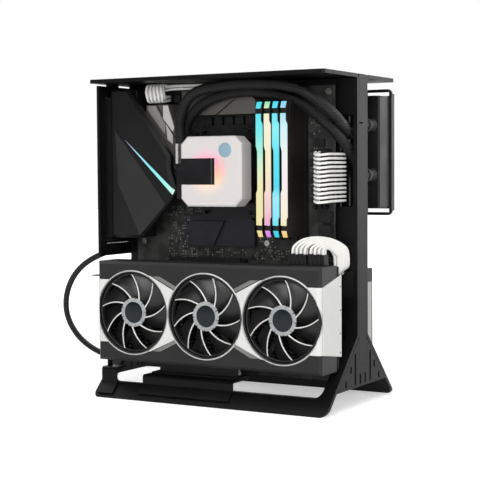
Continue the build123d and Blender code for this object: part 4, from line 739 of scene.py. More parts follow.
@dataclass
class Studio:
    """Camera, floor, lamps and the white room."""

    azimuth: float = 29.608
    elevation: float = 2.916
    roll: float = -0.359
    target_mm: tuple[float, float, float] = (-4.01, 0.0, 168.59)
    distance_mm: float = 1437.4
    focal_px: float = 1324.794
    frame_px: int = 480
    sensor_mm: float = 36.0
    far_m: float = 50.0
    floor_m: float = 6.0
    room_light: float = 0.45
    # What a glossy surface sees of the room: dim towards the front, bright behind the bench.
    mirror_from: tuple[float, float] = (-0.75, 0.45)
    mirror_light: tuple[float, float] = (0.05, 2.2)
    # The floor's own light, by the distance from the bench, and the share of it that a glossy surface sees.
    floor_from_m: tuple[float, float] = (0.35, 1.3)
    floor_light: tuple[float, float] = (0.45, 1.0)
    floor_mirror: float = 0.35
    # Each soft box: its name, place and aim in metres, side in metres and power in watts.
    soft_boxes: tuple = (("top_box", (0.1, -0.4, 1.9), (0, 0, 0.1), 1.8, 16.0),
                         ("right_box", (1.9, -0.5, 0.9), (0, 0, 0.15), 1.4, 5.0),
                         ("front_box", (0.9, -2.3, 0.9), (0, 0, 0.15), 1.6, 38.0))

    def camera(self) -> None:
        """Sets the camera at the photograph's viewing angle."""
        a, e, r = (math.radians(v) for v in (self.azimuth, self.elevation, self.roll))
        back = Vector((math.sin(a) * math.cos(e), -math.cos(a) * math.cos(e), math.sin(e)))
        right = Vector((math.cos(a), math.sin(a), 0.0))
        up = back.cross(right)
        right, up = math.cos(r) * right + math.sin(r) * up, math.cos(r) * up - math.sin(r) * right
        data = bpy.data.cameras.new("camera")
        data.sensor_width = self.sensor_mm
        data.lens = self.focal_px / self.frame_px * self.sensor_mm
        data.clip_end = self.far_m
        eye = bpy.data.objects.new("camera", data)
        eye.matrix_world = Matrix.Translation((Vector(self.target_mm) + back * self.distance_mm) * MM) @ Matrix(
            (right, up, back)).transposed().to_4x4()
        bpy.context.collection.objects.link(eye)
        bpy.context.scene.camera = eye

    @staticmethod
    def rays(tree: bpy.types.NodeTree) -> tuple[bpy.types.NodeSocket, bpy.types.NodeSocket]:
        """Tells the camera's rays from those that metal or glass sends on.

        Args:
            tree: the node tree.

        Returns:
            Two switches: one for the camera's rays, and one for glossy and transmitted rays.
        """
        path = add_node(tree, "ShaderNodeLightPath")
        sent_on = add_node(tree, "ShaderNodeMath", {
            0: path.outputs["Is Glossy Ray"], 1: path.outputs["Is Transmission Ray"]}, operation="MAXIMUM")
        return path.outputs["Is Camera Ray"], sent_on.outputs[0]

    def room(self) -> None:
        """White backdrop, dimmer towards the front as a studio is, and a pale floor that keeps the shadow."""
        world = bpy.data.worlds.new("white_room")
        world.use_nodes = True
        bpy.context.scene.world = world
        tree = world.node_tree
        seen, sent_on = self.rays(tree)
        place = add_node(tree, "ShaderNodeTexCoord")
        parts = add_node(tree, "ShaderNodeSeparateXYZ", {"Vector": place.outputs["Generated"]})
        gloss = add_node(tree, "ShaderNodeMapRange", {
            "Value": parts.outputs["Y"], "From Min": self.mirror_from[0], "From Max": self.mirror_from[1],
            "To Min": self.mirror_light[0], "To Max": self.mirror_light[1]})
        shine = add_node(tree, "ShaderNodeMix", {
            "Factor": sent_on, 2: self.room_light, 3: gloss.outputs["Result"]})
        level = add_node(tree, "ShaderNodeMix", {"Factor": seen, 2: shine.outputs[0], 3: 1.0})
        feed(tree, tree.nodes["Background"], {"Color": WHITE, "Strength": level.outputs[0]})
        floor = bpy.data.meshes.new("floor")
        reach = self.floor_m
        floor.from_pydata([(-reach, -reach, 0), (reach, -reach, 0), (reach, reach, 0), (-reach, reach, 0)],
                          [], [(0, 1, 2, 3)])
        floor.materials.append(self.floor_paint())
        ground = bpy.data.objects.new("floor", floor)
        bpy.context.collection.objects.link(ground)

    def floor_paint(self) -> bpy.types.Material:
        """Matt white floor: its own light, more of it further away, lifts it to white where no shadow falls.

        Returns:
            The floor's material.
        """
        paint, shader, place = new_material("matt_white_floor")
        tree = paint.node_tree
        seen, sent_on = self.rays(tree)
        away = add_node(tree, "ShaderNodeVectorMath", {0: place.outputs["Object"]}, operation="LENGTH")
        level = add_node(tree, "ShaderNodeMapRange", {
            "Value": away.outputs["Value"], "From Min": self.floor_from_m[0], "From Max": self.floor_from_m[1],
            "To Min": self.floor_light[0], "To Max": self.floor_light[1]})
        dim = add_node(tree, "ShaderNodeMath", {0: sent_on, 1: self.floor_mirror}, operation="MULTIPLY")
        share = add_node(tree, "ShaderNodeMath", {0: seen, 1: dim.outputs[0]}, operation="MAXIMUM")
        lift = add_node(tree, "ShaderNodeMath", {
            0: share.outputs[0], 1: level.outputs["Result"]}, operation="MULTIPLY")
        feed(tree, shader, {"Emission Strength": lift.outputs[0], "Emission Color": WHITE, "Roughness": 0.9,
                            "Base Color": linear("#ededed"), "Specular IOR Level": 0.0})
        return paint

    def lamps(self) -> None:
        """Large soft boxes: one above, one at the right and one at the front."""
        for name, place, aim, size, power in self.soft_boxes:
            data = bpy.data.lights.new(name, "AREA")
            data.shape, data.size, data.energy = "SQUARE", size, power
            lamp = bpy.data.objects.new(name, data)
            lamp.location = place
            lamp.rotation_euler = (Vector(aim) - Vector(place)).to_track_quat("-Z", "Y").to_euler()
            bpy.context.collection.objects.link(lamp)

    def build(self) -> None:
        """Sets up the whole studio."""
        bpy.context.scene.view_settings.view_transform = "Standard"
        self.camera()
        self.room()
        self.lamps()


@dataclass
class MainsLead:
    """The supply's lead: a free run beside the bench, and a put-away coil of two layers behind it."""

    radius: float = 3.5
    length: float = 1800.0
    route: Points = ((-21, 47.6, 150), (-56, 47.6, 150), (-104, 48, 157), (-154, 43, 160), (-203, 34, 151),
                     (-241, 29, 132), (-266, 34, 100), (-274, 46, 64), (-264, 70, 30), (-238, 104, 9),
                     (-203, 133, 4.6))
    end: Points = ((-171.0, 151, 11.8), (-172.6, 158, 12), (-173, 164.5, 12))
    centre: tuple[float, float] = (-128.0, 141.0)
    tracks: tuple[float, float, float] = (49.4, 42.2, 35.0)
    pinch: float = 1.5
    layers_z: tuple[float, float] = (4.0, 11.4)
    entry_deg: float = 152.0
    step_deg: float = 24.0
    wound_deg: float = 1768.0
    jogs_deg: Point = (0, 300, 380, 730, 800, 1080, 1120, 1160, 1435, 1505)
    climb_deg: Point = (0, 1080, 1160)
    round_steps: int = 4
    length_steps: int = 8

    def coil(self) -> np.ndarray:
        """Works out the coil: three turns inwards on the floor, a climb, and two turns outwards on top of them.

        Radius and height are straight-line functions of the angle wound so far, with a jog from track to track.

        Returns:
            The coil's control points, in millimetres.
        """
        wide, middle, tight = self.tracks
        low, high = self.layers_z
        wound = np.arange(0, self.wound_deg, self.step_deg)
        radius = np.interp(wound, self.jogs_deg, [wide, wide, middle, middle, tight, tight, tight - self.pinch,
                                                  tight, tight, middle])
        height = np.interp(wound, self.climb_deg, [low, low, high])
        reach = radius / math.cos(math.radians(self.step_deg / 2))
        angle = np.radians(self.entry_deg - wound)
        return np.stack([self.centre[0] + reach * np.cos(angle), self.centre[1] + reach * np.sin(angle), height], -1)

    def build(self) -> None:
        points = np.vstack([np.array(self.route, float), self.coil(), np.array(self.end, float)])
        data = bpy.data.curves.new("mains_cord", "CURVE")
        data.dimensions = "3D"
        data.bevel_depth = self.radius * MM
        data.bevel_resolution = self.round_steps
        data.use_fill_caps = True
        spline = data.splines.new("NURBS")
        spline.points.add(len(points) - 1)
        spline.points.foreach_set("co", np.hstack([points * MM, np.ones((len(points), 1))]).ravel())
        spline.order_u = 3
        spline.use_endpoint_u = True
        spline.resolution_u = self.length_steps
        data.materials.append(Paint.JACKET.material())
        cord = bpy.data.objects.new("mains_cord", data)
        bpy.context.collection.objects.link(cord)
        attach(cord, BENCH)
        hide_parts("mains_lead", "lead_coil")
        log.info("piece mains_cord: %d control points", len(points))
        dress(Paint.JACKET, "lead_plug", "lead_connector")


@dataclass
class SleevedCables:
    """White sleeved wires of the board, processor and card leads, each in its black plug.

    Each route is a row of points. A spread says how far each point moves for a millimetre between two layers.
    """

    sides: int = 8
    main_r: float = 1.3
    main_layers: tuple[float, float] = (0.0, 3.9)
    main_rows: int = 12
    main_low_z: float = 214.6
    main_pitch: float = 4.35
    main_route: Points = ((108.2, -36), (108.2, -41), (110.0, -47.5), (115.6, -52.3), (120.8, -47.6), (122.0, -40),
                          (122.0, -4.6))
    main_spread: Points = ((1, 0), (1, 0), (1, -0.4), (0.4, -0.6), (0.5, -0.5), (0.55, 0), (0.55, 0))
    main_sag: Point = (0, -0.8, -2.6, -3.6, -3.2, -2.6, -2.4)
    main_plug: Points = ((105.5, -36, 212.5), (114.5, -26.95, 264.5))
    main_comb: Points = ((107.4, -40.2, 213.0), (114.9, -38.8, 237.6))
    combs_step: tuple[float, float, float] = (0.0, 0.0, 26.0)
    loop_r: float = 1.5
    loop_layers: tuple[float, float] = (0.0, 3.7)
    loops_x: Point = (-90.2, -85.9, -81.6, -77.3, -73.0)
    loop_route: Points = ((0, -31, 324), (0, -36, 323.5), (0.4, -42, 321.2), (1.0, -46.6, 324), (0.4, -47.2, 330),
                          (0.2, -43.5, 335.2), (0, -36, 336), (0, -20, 335.6), (0, 2, 334.6))
    loop_spread: Points = ((0, 0, -1), (0, 0, -1.1), (0, -1, -0.7), (0, -1, -0.2), (0, -1, 0), (0, -1, 0.1),
                           (0, 0, 0), (0, 0, 0), (0, 0, 0))
    loop_lean: Point = (0, 0, 0, 0.5, 0.5, 0, 0, 0, 0)
    branch_layers: tuple[float, float] = (0.0, 3.4)
    branch_route: Points = ((-76, -36, 334), (-70, -35.6, 335), (-60, -35, 335.4), (-50, -34, 335.4),
                            (-34, -30, 335.4), (-18, -25, 335), (-11, -14, 334.4), (-11, 2, 334))
    branch_spread: Points = ((0, 0, -1), (0, 0, -1), (0, 0, -1), (0, 0, -1), (0, 0, -1), (0, 0, -0.8),
                             (-1, 0, -0.2), (-1, 0, 0))
    loop_plugs: tuple = (((-92, -31, 317.5), (-70, -23.95, 326.5)), ((-68, -31, 317.5), (-60, -23.95, 326.5)))
    card_r: float = 1.4
    card_wires_x: Point = (90.6, 95.2, 99.8, 104.4, 110.9, 115.5, 120.1, 124.7)
    card_rows_y: tuple[float, float] = (-58.4, -54.0)
    card_start_z: tuple[float, float] = (158.6, 162.0)
    arch_deg: Point = (160, 130, 100, 70, 40, 15)
    arch_rise: tuple[float, float] = (15.5, -1.3)
    # The arch's far foot, the way down beside it and the way into the slot: each with its step from wire to wire
    # and from row to row.
    foot: Point = (132.6, -16.0, 157.0)
    foot_step: Point = (-0.3, -2.9, -0.55)
    foot_row: Point = (-2.9, -1.4, 0.0)
    down: Points = ((-0.6, 1.6, 149.0), (-3.0, 4.0, 144.0))
    down_step: Points = ((0, 0, -1.1), (0, 0, -0.77))
    slot: Points = ((122.5, -12.0, 140.0), (121.5, -7.0, 139.0), (121.5, -4.6, 139.0))
    slot_step: Point = (-0.02, 0.0, -0.33)
    slot_row: Point = (-0.2, 0.0, 0.0)
    cell_half: float = 2.2
    cell_y: tuple[float, float] = (-61.3, -50.8)
    cell_tops: tuple[float, float] = (159.6, 159.0)
    bands_x: Points = ((88.0, 107.0), (108.3, 127.3))
    band_y: tuple[float, float] = (-61.0, -51.1)
    band_z: tuple[float, float] = (148.15, 154.0)
    inline_plugs: tuple = (((120.2, -5.2, 110.2), (135.6, 6.0, 139.8)), ((120.2, -5.2, 140.0), (135.6, 6.0, 169.6)))

    def wire(self, points: Points, radius: float, count: int, across: Point) -> Shape:
        """One sleeved wire: a circle carried along a smooth line through points."""
        return tube(smooth(points, count), radius, self.sides, across)

    def main(self) -> None:
        """Two layers of twelve wires from the board's edge plug round to the slot in the frame."""
        wires = []
        for out in self.main_layers:
            flat = np.array(self.main_route) + out * np.array(self.main_spread)
            for z in self.main_low_z + self.main_pitch * np.arange(self.main_rows):
                line = np.column_stack([flat, z + np.array(self.main_sag)])
                wires.append(self.wire(line, self.main_r, count=34, across=(0, 0, 1)))
        make_piece("main_wires", joined(wires), Paint.SLEEVE, replaced=["main_cable"])
        comb = soft_box(*self.main_comb, edge=0.4)
        plug = [soft_box(*self.main_plug, edge=0.8), comb, comb.moved(self.combs_step)]
        make_piece("main_plug", joined(plug), Paint.NYLON)

    def processor(self) -> None:
        """Five pairs of wires that loop out of their plug and back over the board's top edge, and a side branch."""
        wires = []
        for number, x in enumerate(self.loops_x):
            for out in self.loop_layers:
                line = np.array(self.loop_route) + out * np.array(self.loop_spread)
                line[:, 0] += x + number * np.array(self.loop_lean)
                wires.append(self.wire(line, self.loop_r, count=46, across=(1, 0, 0)))
        for out in self.branch_layers:
            line = np.array(self.branch_route) + out * np.array(self.branch_spread)
            wires.append(self.wire(line, self.loop_r, count=40, across=(0.2, 0.3, 0.9)))
        make_piece("processor_wires", joined(wires), Paint.SLEEVE, replaced=["processor_cable"])
        make_piece("processor_plugs", joined([soft_box(low, high, edge=0.7) for low, high in self.loop_plugs]),
                   Paint.NYLON)

    def card(self) -> None:
        """Two rows of eight wires that arch out of the card's plugs and down into the lower slot.

        Each arch is half an ellipse in the upright plane between its two feet.
        """
        wires = []
        turn = np.radians(self.arch_deg)[:, None]
        for row, y in enumerate(self.card_rows_y):
            for number, x in enumerate(self.card_wires_x):
                plug = np.array([(x, y, z) for z in self.card_start_z])
                foot = np.array(self.foot) + number * np.array(self.foot_step) + row * np.array(self.foot_row)
                rise = np.array([0, 0, self.arch_rise[0] + number * self.arch_rise[1]])
                arch = (plug[1] + foot) / 2 + np.cos(turn) * (foot - plug[1]) / 2 + np.sin(turn) * rise
                down = np.array(self.down) + number * np.array(self.down_step) + foot * [1, 1, 0]
                slot = np.array(self.slot) + number * np.array(self.slot_step) + row * np.array(self.slot_row)
                line = np.vstack([plug, arch, down, slot])
                wires.append(self.wire(line, self.card_r, count=48, across=(0.55, -0.75, 0.2)))
        make_piece("card_wires", joined(wires), Paint.SLEEVE, replaced=["card_cable"])
        cells = [soft_box((x - self.cell_half, self.cell_y[0], self.band_z[0]),
                          (x + self.cell_half, self.cell_y[1], self.cell_tops[k % 2]), edge=0.5)
                 for k, x in enumerate(self.card_wires_x)]
        bands = [soft_box((low, self.band_y[0], self.band_z[0]), (high, self.band_y[1], self.band_z[1]), edge=0.5)
                 for low, high in self.bands_x]
        inline = [soft_box(low, high, edge=0.8) for low, high in self.inline_plugs]
        make_piece("card_plugs", joined(cells + bands + inline), Paint.NYLON)

    def build(self) -> None:
        """Builds all the sleeved cables."""
        self.main()
        self.processor()
        self.card()


@dataclass
class MemoryBank:
    """Lit diffusers on the memory modules, each on its dark holder."""

    places: Point = (56.6, 66.0, 75.4, 84.8)
    runs: tuple[Run, ...] = (
        ((0.0, "#f3d97c"), (0.08, "#efe2a0"), (0.38, "#f1e9b0"), (0.52, "#dcf0c8"), (0.64, "#a4f0da"),
         (0.78, "#6cecee"), (1.0, "#3ddcee")),
        ((0.0, "#d77be0"), (0.05, "#dd8ae0"), (0.1, "#eea8c4"), (0.2, "#f3c6cc"), (0.35, "#f6dcc8"),
         (0.55, "#f6ecc4"), (0.8, "#f9efd4"), (0.93, "#eef0cc"), (1.0, "#86e4b0")),
        ((0.0, "#10c8dc"), (0.06, "#22d2e6"), (0.12, "#7ce4f4"), (0.29, "#9aeaf8"), (0.37, "#3edaf0"),
         (0.6, "#55e2f3"), (0.8, "#86f2f8"), (1.0, "#34def0")),
        ((0.0, "#f4c45a"), (0.05, "#f5d890"), (0.1, "#f6ecc0"), (0.2, "#f8eedd"), (0.45, "#f8ecec"),
         (0.6, "#f0f2ee"), (0.8, "#d2f2f8"), (1.0, "#84d6f6")))
    long_part: Points = ((-3.5, 301), (-3.5, 268.5), (-1.9, 263), (-1.9, 224), (-3.3, 220.5), (-3.3, 188), (2.2, 187.6),
                         (2.3, 194), (3.6, 196.5), (3.6, 290), (1.7, 294), (1.7, 301))
    low_tip: Points = ((-2.8, 182.5), (-0.6, 176), (3.5, 176), (2.0, 182.5))
    high_tip: Points = ((-3.4, 306.5), (1.2, 306.5), (3.1, 313), (-1.9, 313))
    lit_z: tuple[float, float] = (176.0, 313.0)
    lit_y: tuple[float, float] = (-67.0, -65.0)
    holder: Points = ((-2.6, -65, 178), (2.6, -60, 311))

    def build(self) -> None:
        """Makes the bars with a step in their outline and slanted tips, one run of colours each."""
        for number, (x, run) in enumerate(zip(self.places, self.runs), 1):
            glow = Glow(f"lit_memory_diffuser_{number}", run, Axis.Z, *self.lit_z)
            bars = [prism(flat, (x, self.lit_y[0], 0), (x, self.lit_y[1], 0))
                    for flat in (self.long_part, self.low_tip, self.high_tip)]
            make_piece(f"memory_bar_{number}", joined(bars), glow,
                       replaced=["memory_light_bars"] if number == 1 else [])
            holder = soft_box(*self.holder, edge=0.5).moved((x, 0, 0))
            make_piece(f"memory_holder_{number}", holder, Paint.NYLON)
            dress(Paint.SPREADER, f"memory_module_{number}")
            dress(Paint.NYLON, f"memory_latch_{number}")


@dataclass
class CoolingLoop:
    """Hoses, pump, radiator and its fans. A profile gives radius and place along its axis."""

    hose_r: float = 5.5
    upper: Points = ((-43.5, -56, 272), (-43.5, -56, 300), (-28, -56.5, 324), (12, -57.5, 331.8), (58, -58, 331.5),
                     (93.4, -57.5, 326.5), (112.9, -54, 316), (126.2, -44, 303), (131, -29, 291.5), (129, -13, 284),
                     (127.5, 2, 281), (127, 14, 283.5), (126.5, 27, 289.5), (126.5, 36, 291), (126.5, 45, 291))
    lower: Points = ((-43.5, -43, 272), (-43.5, -43, 294), (-25, -43.5, 313), (8, -44, 324), (45, -44, 324.5),
                     (88.4, -43.5, 314), (110.2, -41, 299.2), (122.5, -30, 285), (128, -13, 269.5), (128, 4, 258),
                     (127, 21, 244.5), (126.5, 34, 238.3), (126.5, 45, 238))
    fitting: Points = ((-46.1, -62, 214), (-36.8, -37, 250))
    collar: Points = ((5.2, 250), (6.2, 250.6), (6.2, 270), (5.9, 273.6), (5.6, 274))
    # A pale strip on the front of the near collar: a painted highlight.
    bar_r: float = 6.35
    bar_deg: tuple[float, float] = (238.0, 274.0)
    bar_z: tuple[float, float] = (251.5, 272.5)
    bar_steps: int = 7
    bar_thick: float = 0.4
    boot: Points = ((5.0, 43.8), (6.6, 44.2), (6.9, 47), (8.4, 49.5), (9.0, 51.8))
    clamp: Points = ((5.7, 41.2), (7.0, 41.4), (7.0, 44.0), (5.7, 44.2))
    disc: Points = ((7.6, -67.9), (7.6, -68.2), (7.1, -68.5), (3.0, -68.6), (0.4, -68.62))
    disc_centre: tuple[float, float, float] = (17.5, 0.0, 265.0)
    line_centre: tuple[float, float, float] = (0.9, -58.65, 243.0)
    line_size: tuple[float, float, float] = (0.7, 19.0, 26.6)
    tank: Points = ((-9.2, 51.9, 202.5), (9.2, 79.0, 322.5))
    tanks_x: tuple[float, float] = (-128.4, 128.4)
    fins_x: tuple[float, float, float] = (-118.0, 118.1, 1.3)
    fin_rows: int = 12
    fin_low_z: float = 206.5
    fin_pitch: float = 9.3
    fin_tall: float = 7.2
    fin_fold: float = 2.6
    fin_deep: float = 3.6
    fin_inset: float = 0.2
    fin_thick: float = 0.15
    # The radiator's two faces, and the way from each to its inside.
    faces_y: Points = ((78.9, -1.0), (51.98, 1.0))

    def hoses(self) -> None:
        """Two braided hoses from the pump through the frame's slot to the radiator, with a collar at each end; the
        pump's polished collars are drawn gloss black as their painted dark reflection, with a pale strip as a painted
        highlight.
        """
        for name, route in (("upper", self.upper), ("lower", self.lower)):
            hose = tube(smooth(route, count=150), self.hose_r, sides=20, across=(0.25, 0.9, -0.35))
            make_piece(f"{name}_hose", hose, Paint.HOSE, replaced=[f"{name}_tube"])
        x, y, _ = self.upper[0]
        # Gloss black collars: polished in the real thing, drawn black as their dark reflection, which is painted in.
        collars = [turned(Axis.Z, (*route[0][:2], 0), self.collar, sides=28) for route in (self.upper, self.lower)]
        block = soft_box(*self.fitting, edge=1.0)
        make_piece("pump_fittings", joined([block, *collars]), Paint.PUMP_BLACK,
                   replaced=["tube_fittings"])
        turn = np.radians(np.linspace(*self.bar_deg, self.bar_steps))
        bend = np.stack([x + self.bar_r * np.cos(turn), y + self.bar_r * np.sin(turn)], -1)
        bar = np.stack([np.column_stack([bend, np.full(self.bar_steps, z)]) for z in self.bar_z])
        make_piece("collar_highlight_strip", slab(bar, (0, self.bar_thick, 0)), Paint.COLLAR_HIGHLIGHT)
        ends = [(route[-1][0], 0, route[-1][2]) for route in (self.upper, self.lower)]
        boots = [turned(Axis.Y, end, self.boot, sides=28) for end in ends]
        make_piece("radiator_barbs", joined(boots), Paint.RADIATOR)
        clamps = [turned(Axis.Y, end, self.clamp, sides=28, closed=True) for end in ends]
        make_piece("hose_clamps", joined(clamps), Paint.ANODISED)

    def pump(self) -> None:
        """The pump's frosted cap, the plain disc on it and the thin line on its dark inset."""
        dress(Paint.FROST, "pump_cap")
        make_piece("pump_disc", turned(Axis.Y, self.disc_centre, self.disc, sides=40), Paint.SLATE)
        line = boxes(np.array([self.line_centre]), np.array([self.line_size]))
        make_piece("inset_line", line, Paint.ANODISED)
        dress(Paint.PUMP_BLACK, "pump_body", "pump_bracket")

    def radiator(self) -> None:
        """End tanks with rounded ends, and folded fins between flat tubes.

        The fins' depth is a triangle wave along the radiator, cut off at each tube.
        """
        tanks = [soft_box(*self.tank, edge=1.6).moved((x, 0, 0)) for x in self.tanks_x]
        make_piece("radiator_tanks", joined(tanks), Paint.RADIATOR)
        x = np.arange(*self.fins_x)
        wave = np.abs((x / self.fin_fold) % 1.0 - 0.5) * self.fin_deep
        mats = []
        for y, way in self.faces_y:
            for z in self.fin_low_z + self.fin_pitch * np.arange(self.fin_rows):
                edge = np.stack([x, y + way * (wave - self.fin_inset), np.full_like(x, z)], -1)
                mats.append(slab(np.stack([edge, edge + [0, 0, self.fin_tall]]), (0, -way * self.fin_thick, 0)))
        make_piece("radiator_fins", joined(mats), Paint.TIN, sharp_deg=10)
        dress(Paint.RADIATOR, "radiator", "radiator_plate")
        dress(Paint.FAN, "fan_frames", "left_fan_rotor", "right_fan_rotor", "supply_fan_rotor")
        dress(Paint.BLACK_SHEET, "fan_spacers")

    def build(self) -> None:
        """Builds the loop."""
        self.hoses()
        self.pump()
        self.radiator()


@dataclass
class GraphicsCard:
    """The card: pale front panel with three rings, grey stripes, end cap, and fans with swept blades.

    A profile gives radius and Y.
    """

    fans_x: tuple[float, float, float] = (-86.0, 3.4, 92.6)
    fan_z: float = 94.0
    phases: tuple[float, float, float] = (21.0, 5.7, 13.3)
    under_r: float = 44.2
    face_y: float = -88.0
    flat_x: tuple[float, float] = (-127.5, 133.5)
    ends_x: tuple[float, float] = (-130.4, 136.45)
    panel_z: tuple[float, float] = (61.5, 128.5)
    panel_lift: float = 1.0
    peak: tuple[float, float] = (23.0, 39.8)
    # The middle patches: two fans with the angles of each one's arc, and the angles where the end patches stop.
    middles: tuple = ((0, 1, (-65, 65), (216, 145.5)), (1, 2, (-36, 34.5), (245, 115)))
    end_leans: tuple[float, float] = (-47.3, 51.3)
    arc_steps: int = 25
    fold_steps: int = 41
    end_steps: int = 9
    ring: Points = ((43.6, -88.5), (43.9, -89.0), (44.6, -89.0), (45.2, -88.4), (45.2, -87.6), (43.6, -87.6))
    lip: Points = ((42.0, -84.6), (42.0, -88.0), (42.6, -88.8), (43.2, -88.8), (43.65, -88.4), (43.65, -84.6))
    cap_x: float = 137.5
    cap_thick: float = 1.0
    cap_y: tuple[float, float] = (-85.0, -43.0)
    cap_front_z: tuple[float, float] = (61.5, 128.5)
    cap_back_z: tuple[float, float] = (55.5, 138.5)
    hole: Points = ((1.0, 137.2), (1.0, 137.6), (0.5, 137.65))
    hole_y: float = -46.0
    holes_z: Point = (126.8, 103.1, 79.4, 60.0)
    stripe_lift: float = 0.5
    # A stripe's two long edges: the distance from the panel's edge, and how far the ends stand in from its corners.
    stripe_edges: Points = ((1.0, 2.5, -1.5), (5.0, 11.0, 2.6))
    blades: int = 9
    blade_r: tuple[float, float] = (14.6, 40.6)
    blade_y: tuple[float, float] = (-85.3, -74.7)
    blade_thick: float = 1.1
    sweep_deg: float = 32.0
    chord_deg: float = 37.0
    # The pale strip on each blade's leading edge: a painted highlight.
    edge_y: float = -85.15
    edge_r: tuple[float, float] = (0.85, 0.6)
    hub: Points = ((14.0, -73.2), (15.0, -74), (15.2, -84.6), (11.0, -84.8))
    rim: Points = ((40.3, -80.5), (40.3, -85.6), (40.7, -86), (41.3, -86), (41.7, -85.5), (41.7, -80.5))
    cap: Points = ((11.5, -84.2), (11.4, -85.1), (8.0, -85.45), (0.5, -85.6))
    collar_r: float = 15.4
    collar_inside_r: tuple[float, float] = (11.3, 11.5)
    collar_y: tuple[float, float, float] = (-84.5, -85.6, -86.0)
    collar_bevel: float = 0.4
    notch: float = 3.4
    notch_sharp: int = 60
    notch_turn_deg: float = 20.0

    def arc(self, number: int, start: float, end: float) -> np.ndarray:
        """Takes a piece of the circle under a fan's ring.

        Args:
            number: the fan, from 0 at the left.
            start: the first point's angle, in degrees.
            end: the last point's angle.

        Returns:
            X and Z of the points.
        """
        turn = np.radians(np.linspace(start, end, self.arc_steps))
        return np.stack([self.fans_x[number] + self.under_r * np.cos(turn),
                         self.fan_z + self.under_r * np.sin(turn)], -1)

    def folded(self, points: np.ndarray) -> np.ndarray:
        """Lets points past the flat front follow its slanted ends: each millimetre past it is one further back.

        Args:
            points: any array of points.

        Returns:
            The points, kept between the card's ends.
        """
        x = np.clip(points[..., 0], *self.ends_x)
        past = np.maximum(self.flat_x[0] - x, 0) + np.maximum(x - self.flat_x[1], 0)
        return np.stack([x, points[..., 1] + past, points[..., 2]], -1)

    def plate(self, flat: np.ndarray, lift: float) -> Shape:
        """Makes a flat patch into a plate on the card's front.

        Args:
            flat: grid of X and Z.
            lift: the plate's thickness.

        Returns:
            The plate.
        """
        front = np.stack([flat[..., 0], np.full(flat.shape[:2], self.face_y - lift), flat[..., 1]], -1)
        return slab(self.folded(front), (0, lift, 0))

    def patches(self) -> list[np.ndarray]:
        """Lays out the pale panel: a patch between each two fans, and two beside each outer fan.

        Each patch is blended between its four borders, two of which are arcs of the fans' circles.

        Returns:
            Grids of X and Z.
        """
        dx, dz = self.peak
        high, low = self.fan_z + dz, self.fan_z - dz
        grids = []
        for a, b, from_a, from_b in self.middles:
            left, right = self.arc(a, *from_a), self.arc(b, *from_b)
            corner = self.fans_x[a] + dx if a == 0 else self.fans_x[b] - dx
            grids.append(patch(left, right, along([left[0], (corner, low), right[0]], self.fold_steps),
                               along([left[-1], (corner, high), right[-1]], self.fold_steps)))
        for number, side, end in ((0, 180, self.ends_x[0]), (2, 0, self.ends_x[1])):
            for z, lean in zip(self.panel_z[::-1], self.end_leans[::-1]):
                bend = self.arc(number, side, side - lean if side else lean)
                edge = np.column_stack([np.full(len(bend), end), np.linspace(bend[0, 1], z, len(bend))])
                ends = [along([edge[k], bend[k]], self.end_steps) for k in (0, -1)]
                grids.append(patch(edge, bend, *ends))
        return grids

    def panel(self) -> None:
        """The pale panel with a ring round each fan, and the cap on the right end with its holes."""
        for name, profile, finish, slot in (("card_fan_rings", self.ring, Paint.CHROME, "card_silver"),
                                            ("card_fan_lips", self.lip, Paint.PUMP_BLACK, "card_black")):
            rings = [turned(Axis.Y, (x, 0, self.fan_z), profile, sides=96, closed=True) for x in self.fans_x]
            make_piece(name, joined([replace(r, points=self.folded(r.points)) for r in rings]), finish)
        front, back = ([(y, z) for z in span] for y, span in zip(self.cap_y, (self.cap_front_z, self.cap_back_z)))
        borders = (front, back, (front[0], back[0]), (front[1], back[1]))
        side = patch(*[along(ends, self.end_steps) for ends in borders])
        end_cap = slab(np.stack([np.full(side.shape[:2], self.cap_x), side[..., 0], side[..., 1]], -1),
                       (-self.cap_thick, 0, 0))
        plates = [self.plate(grid, self.panel_lift) for grid in self.patches()]
        make_piece("card_front_panel", joined([*plates, end_cap]), Paint.CARD_SILVER,
                   replaced=["card_trim"])
        holes = [turned(Axis.X, (0, self.hole_y, z), self.hole, sides=12) for z in self.holes_z]
        make_piece("end_cap_holes", joined(holes), Paint.NYLON)

    def stripes(self) -> None:
        """Grey stripes beside the panel's slanted edges, mirrored to all four."""
        start = np.array([self.fans_x[0] + self.peak[0], self.fan_z + self.peak[1]])
        _, fan, _, (_, angle) = self.middles[0]
        end = self.arc(fan, angle, angle)[0]
        length = np.linalg.norm(end - start)
        way = (end - start) / length
        out = np.array([-way[1], way[0]])
        flat = np.array([[start + out * off + way * first, start + out * off + way * (length + last)]
                         for off, first, last in self.stripe_edges])
        middle = np.array([self.fans_x[1], self.fan_z])
        stripes = [self.plate(middle + (flat - middle) * np.array(mirror), self.stripe_lift)
                   for mirror in ((1, 1), (-1, 1), (1, -1), (-1, -1))]
        make_piece("card_stripes", joined(stripes), Paint.CARD_GREY)

    def blade(self) -> tuple[Shape, Shape]:
        """One blade and the pale strip along its leading edge, a painted highlight.

        The edge turns with the share of the radius to the power 0.8, and the blade falls back behind it.

        Returns:
            The blade and its painted highlight strip, about the origin.
        """
        u, v = np.meshgrid(np.linspace(0, 1, 15), np.linspace(0, 1, 9), indexing="ij")
        r = self.blade_r[0] + (self.blade_r[1] - self.blade_r[0]) * u
        turn = np.radians(self.sweep_deg * u ** 0.8 - self.chord_deg * v * (1 - 0.1 * u))
        y = self.blade_y[0] + (self.blade_y[1] - self.blade_y[0]) * v ** 0.8
        front = np.stack([r * np.cos(turn), y, r * np.sin(turn)], -1)
        lead = front[:, 0] * [1, 0, 1] + [0, self.edge_y, 0]
        edge = tube(lead, np.linspace(*self.edge_r, len(lead)), sides=6, across=(0, 1, 0))
        return slab(front, (0, self.blade_thick, 0)), edge

